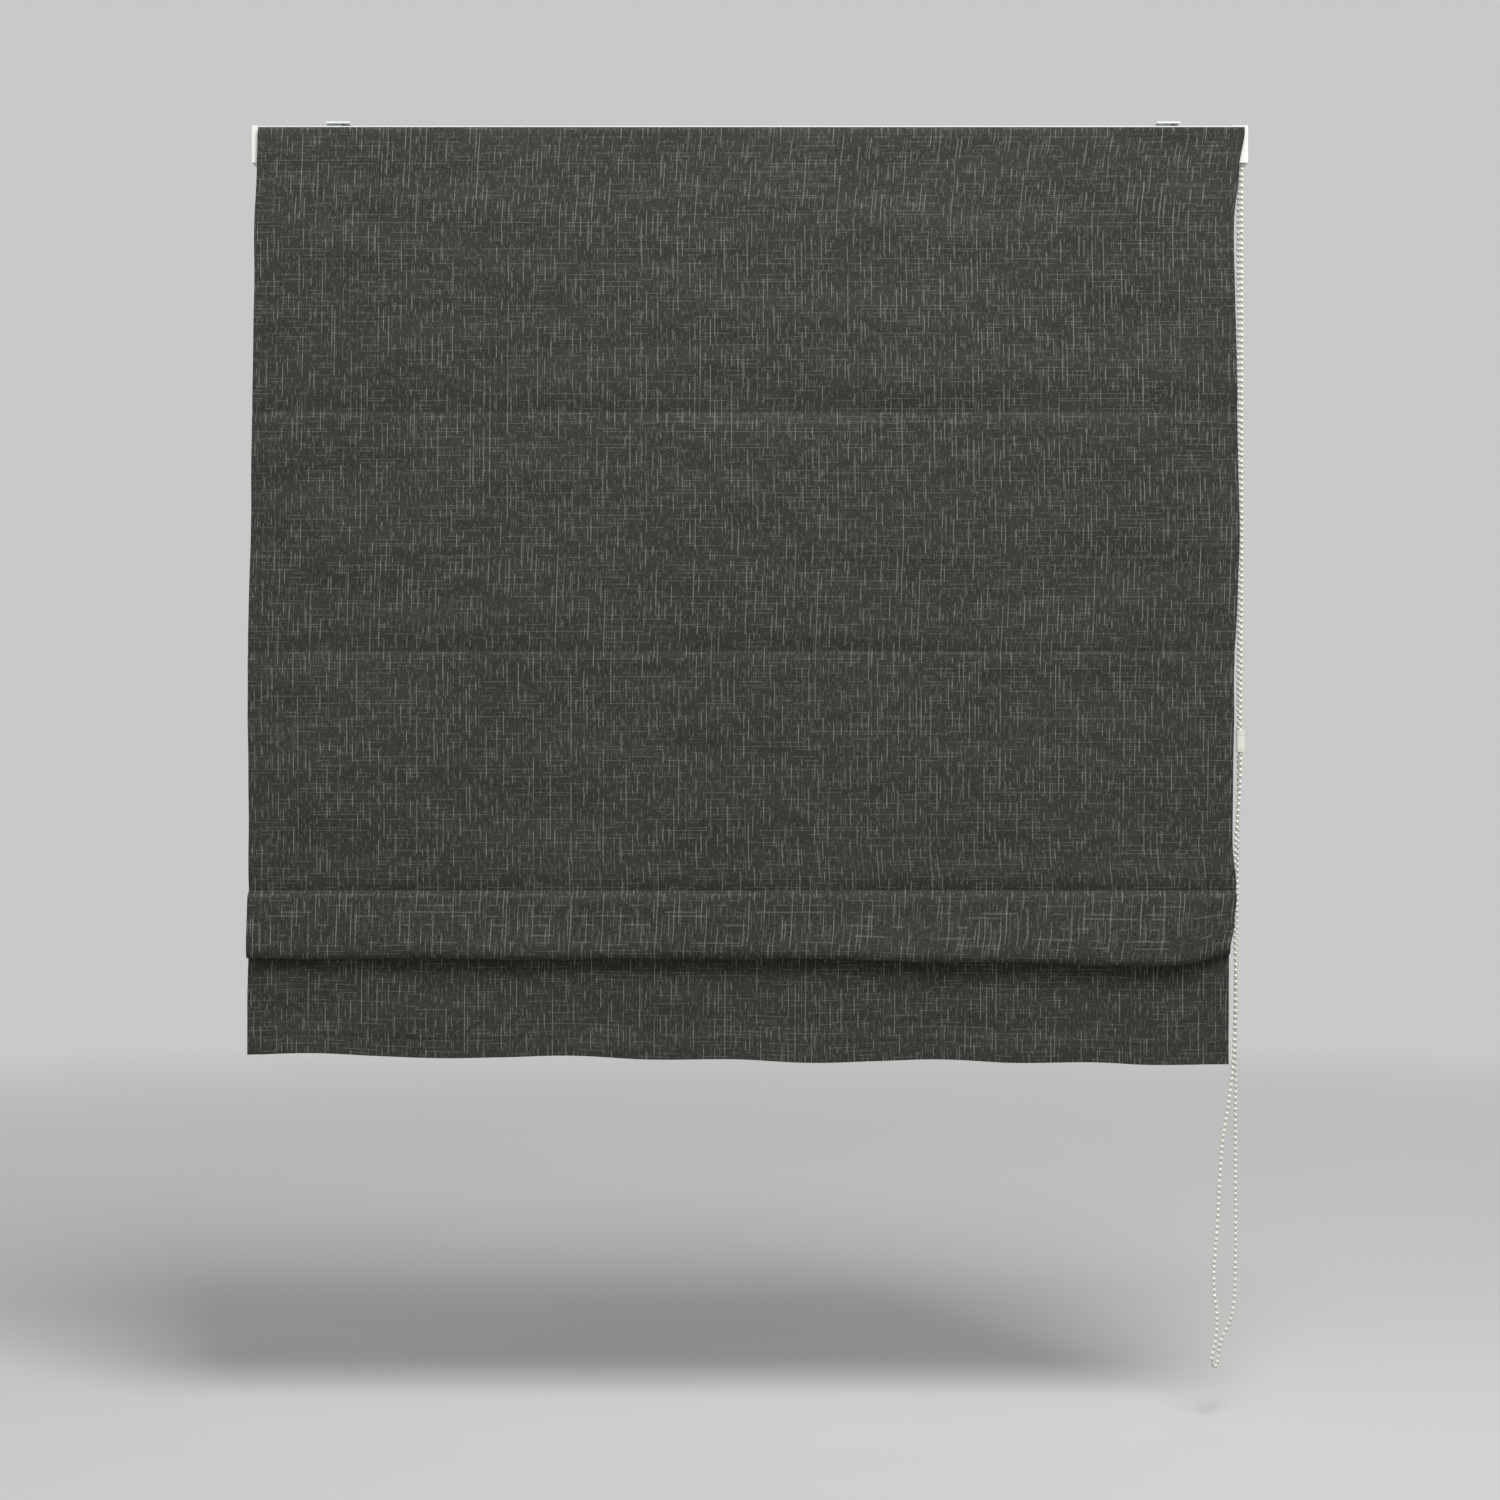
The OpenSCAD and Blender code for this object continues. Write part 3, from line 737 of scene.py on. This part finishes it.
    def fold_point(self, share: float, step: float) -> Point:
        """Return the front of the gathered fold.

        Args:
            share: Place across the cloth.
            step: Place along the fold's route, counted in its points.

        Returns:
            The point on the fold's outer side.
        """
        route = self.fold_route()
        i = min(len(route) - 2, int(step))
        y, z = (curve(*ends, step - i) for ends in zip(*four_around(route, i)))
        low = smooth((self.seams[2] - z) / 0.05)
        x = self.flat_point(share, z if step < self.FOLD_CREASE else self.fold_low)[0]
        wave = 3.0 * MM * ripple(x, 0.0, 0.17, 41.0) + 6.0 * MM * smooth((share - 0.4) / 0.5)
        lift = 10.0 * MM * smooth((share - 0.95) / 0.05)
        if step < 1:
            y -= self.puff * self.slack(z, x)
        elif step < 3:
            y -= self.puff * (1.0 - smooth((step - 1) / 2))
        y -= low * (1.8 * MM * ripple(x, z, 0.2, 43.0) - 4.0 * MM * smooth((share - 0.93) / 0.07) * (step < 8))
        return (x, y, z + low * (lift - wave))

    def piece(self, weave: Weave, name: str, front: Callable[[float, float], Point], rows: list[float],
              flat_start: float, scale: float = 1.0, gap: float | None = None) -> Piece:
        """Make one stretch of face cloth or lining.

        Args:
            weave: Which cloth.
            name: The piece's name.
            front: Gives the face cloth's front point for a share and a place along the route.
            rows: Places along the route.
            flat_start: Flat length at the first row.
            scale: Flat metres for one unit of the route.
            gap: How far the lining lies behind the face cloth's front, or None for just behind the cloth.

        Returns:
            The new sheet.
        """
        lining = weave is Weave.LINING
        edge = self.lining_inset if lining else 0.0
        step = (2.0 if lining else 1.0) * self.column_step / self.WIDTH
        columns = spread(edge, 1.0 - edge, step)
        delta = 0.002

        def outward(share: float, place: float) -> Vector:
            """Return the direction out of the cloth's front."""
            right = Vector(front(share + delta, place)) - Vector(front(share - delta, place))
            low, high = max(rows[0], place - delta / scale), min(rows[-1], place + delta / scale)
            down = Vector(front(share, high)) - Vector(front(share, low))
            return down.cross(right).normalized()

        def surface(share: float, place: float) -> Point:
            """Return the front of this cloth, behind the face cloth if it is the lining."""
            point = Vector(front(share, place))
            if lining:
                point = point - outward(share, place) * (self.face_thickness if gap is None else gap)
            return tuple(point)

        places = [flat_start + (place - rows[0]) * scale for place in rows]
        lookup = dict(zip(places, rows))
        return sheet_shell(
            name, columns, places, self.lining_thickness if lining else self.face_thickness,
            lambda share, flat: surface(share, lookup[flat]),
            lambda share, flat: outward(share, lookup[flat]), self.materials[weave])

    def finish_piece(self, length: float, width_share: float) -> None:
        """Args:
            length: Flat length. Not used.
            width_share: Share of the cloth's width that it covers.
        """
        self.WIDTH * width_share

    def build(self) -> None:
        """Make every stretch of both cloths, and tie the head cloth, the flap and the hem to their bodies."""
        step = self.row_step
        for weave in Weave:
            label = "face" if weave is Weave.FACE else "lining"
            share = 1.0 if weave is Weave.FACE else 1.0 - 2 * self.lining_inset
            head_rows = spread(-self.top + (0.0 if weave is Weave.FACE else 1.0 * MM), -self.head_end, step)
            head = self.piece(weave, f"{label}_head_cloth", self.hanging, head_rows, head_rows[0])
            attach(head, "headrail")
            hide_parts(f"head_{label}")
            self.finish_piece(head_rows[-1] - head_rows[0], share)
            parent = "headrail"
            for i, (top, seam) in enumerate(zip(self.tops, self.seams), start=1):
                middle, quarter = (top + seam) / 2, (top + 3 * seam) / 4
                stretches = (
                    ("front", top, middle, parent, f"panel_{i}_upper", top, top - self.front_curl, "upper"),
                    ("crease", middle, quarter, f"panel_{i}_upper", f"panel_{i}_lower", middle, quarter, None),
                    ("back", quarter, seam, f"panel_{i}_lower", f"rod_line_{i}", quarter, seam, "lower"),
                )
                for part, high, low, first, second, start, end, node in stretches:
                    rows = spread(-high, -low, step)
                    piece = self.piece(weave, f"{label}_panel_{i}_{part}", self.hanging, rows, rows[0])
                    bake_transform(piece)
                    if node:
                        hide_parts(f"{label}_{node}_{i}")
                    self.finish_piece(high - low, share)
                parent = f"rod_line_{i}"
            log.info("%s panels hung", label)
            self.build_fold(weave, label, share)
            self.build_flap(weave, label, share)

    def build_fold(self, weave: Weave, label: str, share: float) -> None:
        """Make the gathered bottom fold, whose rear layer is turned over.

        Args:
            weave: Which cloth.
            label: Its short name.
            share: Share of the width that it covers.
        """
        crease, start = float(self.FOLD_CREASE), -self.seams[2]
        per_point = (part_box("fold_face_front")[1][2] - self.fold_low) / crease
        rows = spread(0.0, crease, 0.2)
        front = self.piece(weave, f"{label}_fold_front_cloth", self.fold_point, rows, start, per_point)
        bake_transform(front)
        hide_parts(f"fold_{label}_front")
        self.finish_piece(crease * per_point, share)
        turned_over = -self.lining_thickness - 0.3 * MM
        first = crease if weave is Weave.FACE else crease + 1.4
        rows = spread(first, float(self.FOLD_END), 0.2)
        back = self.piece(weave, f"{label}_fold_back_cloth", self.fold_point, rows,
                          start + first * per_point, per_point, turned_over)
        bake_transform(back)
        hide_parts(f"fold_{label}_back")
        self.finish_piece((self.FOLD_END - first) * per_point, share)

    def build_flap(self, weave: Weave, label: str, share: float) -> None:
        """Make the flap below the fold, and the hem's turned-up back on the face cloth.

        Args:
            weave: Which cloth.
            label: Its short name.
            share: Share of the width that it covers.
        """
        whole = self.seams[3] - self.bottom
        hem = self.hem_height if weave is Weave.LINING else 0.0
        rows = spread(0.0, whole - hem, self.row_step)
        flap = self.piece(weave, f"{label}_flap_cloth", self.flap_point, rows, -self.seams[3])
        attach(flap, "rod_line_4")
        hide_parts(f"flap_{label}")
        self.finish_piece(whole - hem, share)
        if weave is Weave.FACE:
            self.build_hem(whole)

    def build_hem(self, whole: float) -> None:
        """Turn the hem up behind the bottom bar.

        Args:
            whole: Length of the flap.
        """
        front_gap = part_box("bottom_bar")[1][1] + 0.3 * MM + self.face_thickness - self.plane

        def turned(share: float, length: float) -> Point:
            """Return the outer side of the turned-up hem."""
            x, _, z = self.flap_point(0.5 * (1.0 - self.hem_width) + share * self.hem_width, whole)
            if length <= front_gap:
                sag = 0.8 * MM * math.sin(math.pi * length / front_gap)
                return (x, self.plane + length, z - sag)
            return (x, self.plane + front_gap, z + length - front_gap)

        rows = spread(0.0, front_gap, 0.8 * MM) + spread(front_gap, front_gap + self.hem_height, 2.4 * MM)[1:]
        piece = self.piece(Weave.FACE, "face_hem_cloth", turned, rows, whole)
        settle(piece, "rod_line_4")


@dataclass
class Sewing:
    """Stitch lines, rod pockets and the threads that hold the cord rings."""

    cloth: Cloth
    stitch_length: float = 3.0 * MM
    stitch_pitch: float = 4.2 * MM
    stitch_radius: float = 0.32 * MM
    proud: float = 0.1 * MM
    thread_radius: float = 0.3 * MM
    binding_middle: float = 0.75 * MM
    binding_radius: float = 1.75 * MM
    binding_step: float = 0.8

    def __post_init__(self) -> None:
        """Make the threads' finishes."""
        self.dark = THREAD.build()
        self.pale = PALE_THREAD.build()

    def stitch_line(self, name: str, line: Callable[[float], Point], body: str) -> None:
        """Sew a row of short raised stitches just proud of the face cloth.

        Args:
            name: The piece's name.
            line: Gives the line's point for a share across the cloth.
            body: The body that the stitches ride on.
        """
        verts: list[Point] = []
        faces: list[Face] = []
        count = int(self.cloth.WIDTH / self.stitch_pitch)
        half, thick, sides = self.stitch_length / 2, self.stitch_radius, 6
        profile = ((-1.0, 0.35), (-0.6, 1.0), (0.6, 1.0), (1.0, 0.35))
        for k in range(count):
            x, y, z = line((k + 0.5) / count)
            y -= self.proud
            base = len(verts)
            for dx, grow in profile:
                for turn in circle(sides):
                    verts.append((x + dx * half, y + thick * grow * math.cos(turn), z + thick * grow * math.sin(turn)))
            faces += band(len(profile), sides, base)
            faces.append(tuple(range(base, base + sides)))
            faces.append(tuple(reversed(range(len(verts) - sides, len(verts)))))
        settle(new_piece(name, verts, faces, self.dark), body)

    def pocket(self, number: int) -> None:
        """Sew one rod pocket on the lining.

        Args:
            number: Which rod it holds.
        """
        low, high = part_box(f"rod_pocket_{number}")
        z_mid = (low[2] + high[2]) / 2
        rod_low, rod_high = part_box(f"rod_{number}")
        y_mid = (rod_low[1] + rod_high[1]) / 2
        outer = high[1] - y_mid
        wall = 0.6 * MM
        columns = spread(low[0], high[0], 9.0 * MM)

        def side(y: float, radius: float, way: int, foot: float) -> list[Flat]:
            """Return one face of the pocket's section: a foot, the round and the other foot."""
            turns = (math.radians(way * 125 - way * k * 250 / 12) for k in range(13))
            round_part = [(y_mid + radius * math.cos(turn), radius * 0.98 * math.sin(turn)) for turn in turns]
            heights = [way * 6.0 * MM, way * foot]
            return [(y, z) for z in heights] + round_part + [(y, -z) for z in reversed(heights)]

        section = side(low[1], outer, 1, 4.4 * MM)
        ring = section + side(low[1] + wall, outer - wall, -1, 4.6 * MM)
        verts: list[Point] = []
        for x in columns:
            for y, dz in ring:
                crumple = 0.35 * MM * ripple(x, dz * 4.0, 0.03, 50.0 + number) * smooth((y - low[1]) / (3 * MM))
                verts.append((x, y - abs(crumple), z_mid + dz + 0.4 * crumple))
        size, half = len(ring), len(section)
        faces = band(len(columns), size)
        for at, turned in ((0, False), ((len(columns) - 1) * size, True)):
            for k in range(half - 1):
                quad = (at + k, at + k + 1, at + size - 2 - k, at + size - 1 - k)
                faces.append(tuple(reversed(quad)) if turned else quad)
        piece = new_piece(f"rod_pocket_cloth_{number}", verts, faces, self.cloth.materials[Weave.LINING])
        lay_flat(piece.data, [(vert[0], i % size * 1.6 * MM) for i, vert in enumerate(verts)])
        settle(piece, f"rod_line_{number}", f"rod_pocket_{number}")

    def ring_threads(self, number: int) -> None:
        """Bind each cord ring of one rod to its pocket with a few turns of thread.

        Args:
            number: Which rod.
        """
        low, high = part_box(f"cord_rings_{number}")
        ring_outer = (high[1] - low[1]) / 2
        middle = Vector(((low[0] + high[0]) / 2, low[1], (low[2] + high[2]) / 2))
        reach = (high[0] - low[0]) / 2 - ring_outer
        verts: list[Point] = []
        faces: list[Face] = []
        for side in (-1, 0, 1):
            for turn_x in (-self.binding_step, 0.0, self.binding_step):
                path = [middle + Vector((side * reach + turn_x * MM,
                                         self.binding_middle + self.binding_radius * math.cos(turn),
                                         self.binding_radius * math.sin(turn))) for turn in (*circle(16), math.tau)]
                more, walls = tube_rings(path, lambda i: self.thread_radius, 6)
                faces += [tuple(len(verts) + number for number in face) for face in walls]
                verts += more
        settle(new_piece(f"ring_threads_{number}", verts, faces, self.pale), f"rod_line_{number}")

    def build(self) -> None:
        """Sew everything."""
        cloth = self.cloth
        low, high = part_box("loop_tape")
        rows = [(f"seam_stitches_{i}", seam, f"rod_line_{i}") for i, seam in enumerate(cloth.seams[:3], start=1)]
        rows += [("heading_stitches_upper", high[2] - 2.5 * MM, "headrail"),
                 ("heading_stitches_lower", low[2] + 1.5 * MM, "headrail")]
        for name, level, body in rows:
            self.stitch_line(name, lambda share, z=level: cloth.flat_point(share, z), body)
        length = cloth.seams[3] - cloth.bottom - cloth.hem_stitch
        self.stitch_line("hem_stitches", lambda share: cloth.flap_point(share, length), "rod_line_4")
        for number in (1, 2, 3, 4):
            self.pocket(number)
            self.ring_threads(number)
        log.info("stitches, pockets and ring threads sewn")


@dataclass
class BeadChain:
    """The endless operating chain, with its beads and the string that joins them."""

    bead_radius: float = 2.25 * MM
    pitch: float = 6.0 * MM
    string_radius: float = 0.55 * MM
    start: float = -37.0

    def route(self) -> list[Vector]:
        """Lay out the run's chosen points.

        Returns:
            The points, in metres.
        """
        low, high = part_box("bead_chain")
        f, b, s = low[1] / MM + 2.25, high[1] / MM - 2.25, self.start
        across_from = high[0] - self.bead_radius
        front = [(0, s), *((0, z) for z in range(-80, -481, -80)), (-0.5, -560), (-1, -620), (-1, -680), (-3, -715),
                 (-6, -755), (-8, -800), (-7, -850), (-6, -900), (-7, -950), (-9, -990), (-14, -1030), (-20, -1070),
                 (-23, -1110), (-25, -1150), (-28, -1190), (-29, -1220), (-26, -1250), (-27, -1275), (-31, -1294)]
        back = [(-21, -1294), (-17, -1278), (-8, -1258), (-4, -1230), (-3, -1180), (-3, -1100), (-3, -1020),
                (-3, -940), (-2, -860), (-1, -780), *((0, z) for z in range(-700, -99, 100)), (0, s)]
        chosen = [(x, f, z) for x, z in front]
        chosen += [(-29.5, 0.68 * f, -1302), (-26, 0, -1306), (-22.5, 0.68 * b, -1302)]
        chosen += [(x, b, z) for x, z in back]
        return [Vector((across_from + x * MM, y * MM, z * MM)) for x, y, z in chosen]

    def beads_at(self) -> list[Vector]:
        """Space the beads along a smooth curve through the route.

        Returns:
            Their places, one pitch apart.
        """
        points = self.route()
        fine: list[Vector] = []
        for i in range(len(points) - 1):
            ends = four_around(points, i)
            steps = max(4, int((ends[2] - ends[1]).length / (1.0 * MM)))
            fine += [curve(*ends, k / steps) for k in range(steps)]
        fine.append(points[-1])
        run = 0.0
        spots = [fine[0]]
        for a, b in zip(fine, fine[1:]):
            run += (b - a).length
            if run >= self.pitch * len(spots):
                spots.append(b)
        return spots

    def build(self, material: Material) -> None:
        """Args:
            material: The beads' finish.
        """
        spots = self.beads_at()
        verts, faces = tube_rings(spots, lambda i: self.string_radius, 6)
        around, tall = 10, 7
        for spot in spots[:-1]:
            base = len(verts)
            verts.append(tuple(spot + Vector((0, 0, self.bead_radius))))
            for ring in range(1, tall):
                lean = math.pi * ring / tall
                for turn in circle(around):
                    arm = Vector((math.sin(lean) * math.cos(turn), math.sin(lean) * math.sin(turn), math.cos(lean)))
                    verts.append(tuple(spot + arm * self.bead_radius))
            verts.append(tuple(spot - Vector((0, 0, self.bead_radius))))
            end = base + 1 + (tall - 1) * around
            for k in range(around):
                n = (k + 1) % around
                faces.append((base, base + 1 + k, base + 1 + n))
                faces.append((end, end - around + n, end - around + k))
                for ring in range(tall - 2):
                    a = base + 1 + ring * around
                    faces.append((a + k, a + around + k, a + around + n, a + n))
        chain = new_piece("operating_chain", verts, faces, material)
        settle(chain, "headrail", "bead_chain")
        length = sum((b - a).length for a, b in zip(spots, spots[1:]))
        log.info("chain of %d beads, %.3f m", len(spots), length)


@dataclass
class LiftCords:
    """The three lift cords behind the blind, with their tails."""

    radius: float = 0.7 * MM
    kept_of_cord: float = 0.066
    kept_of_tail: float = 0.5

    def cord(self, name: str, x: float, y: float, high: float, low: float,
             material: Material) -> Piece:
        """Make one straight cord with a faint lay.

        Args:
            name: The piece's name.
            x: Place across the blind.
            y: Depth.
            high: Top end.
            low: Bottom end.
            material: The cord's finish.

        Returns:
            The new piece.
        """
        path = [Vector((x, y, z)) for z in spread(high, low, 4.0 * MM)]
        verts, faces = tube_rings(path, lambda i: self.radius * (1.0 + 0.06 * math.sin(i * 2.1)), 8)
        return new_piece(name, verts, faces, material)

    def build(self) -> None:
        """Hang the cords and their tails."""
        material = CORD.build()
        low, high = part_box("lift_cords")
        tail_low, tail_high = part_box("cord_tails")
        y = (low[1] + high[1]) / 2
        reach = (high[0] - low[0]) / 2 - self.radius
        offset = (tail_low[0] + tail_high[0]) / 2 - (low[0] + high[0]) / 2
        for label, side in SIDES:
            x = side * reach
            piece = self.cord(f"lift_cord_{label}", x, y, high[2], low[2], material)
            settle(piece, "headrail", "lift_cords")
            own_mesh(piece)
            x += offset
            tail = self.cord(f"cord_tail_{label}", x, y, tail_high[2], tail_low[2], material)
            settle(tail, "rod_line_4", "cord_tails")
            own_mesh(tail)
        log.info("lift cords hung")


@dataclass
class Hardware:
    """The rail, brackets and drive, whose shapes come from the frame."""

    def tilted(self, node: str, material: Material, cloth: Cloth) -> None:
        """Stand in for a node of the bottom bar with a copy that follows the hem's slope.

        Args:
            node: The node's name.
            material: Its finish.
            cloth: The cloth whose hem holds it.
        """
        mesh = frame["nodes"][node].data.copy()
        for vertex in mesh.vertices:
            vertex.co.z += cloth.tilt(vertex.co.x) * 0.97
        mesh.materials.clear()
        mesh.materials.append(material)
        piece = bpy.data.objects.new(f"{node}_in_hem", mesh)
        bpy.context.scene.collection.objects.link(piece)
        settle(piece, "rod_line_4", node)

    def build(self, cloth: Cloth) -> Material:
        """Dress every carried-over node.

        Args:
            cloth: The cloth whose hem holds the bottom bar.

        Returns:
            The chain beads' finish.
        """
        made = {slot: finish.build() for slot, finish in HARD_FINISHES.items()}
        made["cord_fibre"] = CORD.build()
        slots = {row["node"]: row["material_slot"] for row in frame["record"]["subparts"]}
        for node, slot in slots.items():
            if slot in made:
                for held in frame["nodes"][node].material_slots:
                    held.material = made[slot]
        for node in ("bottom_bar", "bar_caps"):
            self.tilted(node, made[slots[node]], cloth)
        log.info("hardware dressed in %d finishes", len(made))
        return made["chain_plastic"]


@dataclass
class FasteningTape:
    """The hook tape on the rail and the loop tape on the cloth, with their sewn edges."""

    edge: float = 2.5 * MM
    step: float = 7.0 * MM

    def strip(self, node: str, pile: float) -> None:
        """Make one tape.

        Args:
            node: The tape's node.
            pile: Height of the pile between its selvedges.
        """
        low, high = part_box(node)
        wide, tall = high[0] - low[0], high[2] - low[2]
        thick = high[1] - low[1]
        rows = [0.0, 0.6 * MM] + spread(self.edge, tall - self.edge, 2.0 * MM) + [tall - 0.6 * MM, tall]

        def surface(share: float, length: float) -> Point:
            """Return the tape's front, lower at its selvedges."""
            x, z = low[0] + wide * share, high[2] - length
            inside = smooth(min(length, tall - length) / self.edge)
            lumps = 0.5 + 0.5 * ripple(x, z, 0.004, 61.0)
            return (x, low[1] + pile * (1.0 - inside * (0.7 + 0.3 * lumps)), z)

        piece = sheet_shell(f"{node}_strip", spread(0.0, 1.0, self.step / wide), rows, thick - pile,
                            surface, lambda share, length: Vector((0.0, -1.0, 0.0)), TAPE.build())
        settle(piece, "headrail", node)

    def build(self) -> None:
        """Make both tapes."""
        self.strip("hook_tape", 0.35 * MM)
        self.strip("loop_tape", 0.25 * MM)
        log.info("fastening tapes sewn")


@dataclass
class WoundCord:
    """The first turns of each lift cord on its drum."""

    radius: float = 0.7 * MM
    turns: int = 6
    per_turn: int = 28

    def build(self) -> None:
        """Wind a helix on each drum, in the space of its wound turns."""
        low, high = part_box("wound_cords")
        drum = (high[2] - low[2]) / 2 - self.radius
        axis = Vector((0.0, (low[1] + high[1]) / 2, (low[2] + high[2]) / 2))
        half = (self.turns - 1) * self.radius
        reach = (high[0] - low[0]) / 2 - half - self.radius
        material = CORD.build()
        for label, side in SIDES:
            path = []
            for k in range(self.turns * self.per_turn + 1):
                turn = math.tau * k / self.per_turn
                along = side * reach - half + 2.0 * half * k / (self.turns * self.per_turn)
                path.append(axis + Vector((along, drum * math.cos(turn), drum * math.sin(turn))))
            verts, faces = tube_rings(path, lambda i: self.radius * (1.0 + 0.05 * math.sin(i * 1.7)), 8)
            settle(new_piece(f"wound_cord_{label}", verts, faces, material), "drive", "wound_cords")
        log.info("cords wound on their drums")


@dataclass
class Studio:
    """A plain pale floor, soft lights and the camera."""

    floor_height: float = -1.36
    floor_half: float = 6.0
    floor_fades: tuple[float, float] = (1.9, 4.2)
    distance: float = 3.0
    frame_width: float = 1.5675
    centre_x: float = -0.001
    centre_z: float = -0.658
    sensor: float = 36.0

    def light(self, name: str, place: Point, size: float, power: float, aim: Point) -> None:
        """Add one soft light.

        Args:
            name: The light's name.
            place: Where it stands.
            size: Side of the square light.
            power: Watts.
            aim: The point that it looks at.
        """
        data = bpy.data.lights.new(name, "AREA")
        data.shape = "SQUARE"
        data.size = size
        data.energy = power
        lamp = bpy.data.objects.new(name, data)
        lamp.location = place
        lamp.rotation_euler = (Vector(aim) - Vector(place)).to_track_quat("-Z", "Y").to_euler()
        bpy.context.scene.collection.objects.link(lamp)

    def build(self) -> None:
        """Set up the camera, the world, the lights and the floor."""
        data = bpy.data.cameras.new("camera")
        data.sensor_width = self.sensor
        data.lens = self.sensor * self.distance / self.frame_width
        camera = bpy.data.objects.new("camera", data)
        camera.location = (self.centre_x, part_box("head_face")[0][1] - self.distance, self.centre_z)
        camera.rotation_euler = (math.pi / 2, 0.0, 0.0)
        scene = bpy.context.scene
        scene.collection.objects.link(camera)
        scene.camera = camera
        scene.view_settings.view_transform = "Standard"
        world = bpy.data.worlds.new("pale_room")
        world.use_nodes = True
        colour, strength = world.node_tree.nodes["Background"].inputs[:2]
        colour.default_value, strength.default_value = (0.96, 0.97, 0.96, 1.0), 0.60
        scene.world = world
        middle = (0.0, 0.0, -0.5)
        self.light("overhead", (0.7, -1.9, 2.4), 1.5, 195.0, (0.0, 0.0, -1.1))
        self.light("front_fill", (-1.6, -2.4, 1.6), 1.4, 14.0, middle)
        self.light("rear_fill", (1.5, 2.4, 0.8), 1.8, 20.0, middle)
        paint = Paint("pale_floor")
        space = paint.add("ShaderNodeTexCoord").outputs["Object"]
        far = paint.number("ShaderNodeVectorMath", {"operation": "LENGTH"}, {0: space}, 1)
        mottle = paint.noise(space, (2.0, 2.0, 2.0), 4.0)
        paint.set(Base_Color=paint.mix(mottle, (0.36, 0.36, 0.355), (0.38, 0.38, 0.375)))
        paint.set(Roughness=0.9, Alpha=1.0 - far.between(*self.floor_fades))
        half, z = self.floor_half, self.floor_height
        corners = [(-half, -half, z), (half, -half, z), (half, half, z), (-half, half, z)]
        new_piece("floor", corners, [(0, 1, 2, 3)], paint.material)


def main() -> None:
    """Build the blind round its frame, from the stage to the smallest thread."""
    logging.basicConfig(level=logging.INFO, format="%(name)s: %(message)s")
    Studio().build()
    cloth = Cloth()
    beads = Hardware().build(cloth)
    BeadChain().build(beads)
    cloth.build()
    Sewing(cloth).build()
    FasteningTape().build()
    WoundCord().build()
    LiftCords().build()


if __name__ == "__main__":
    main()
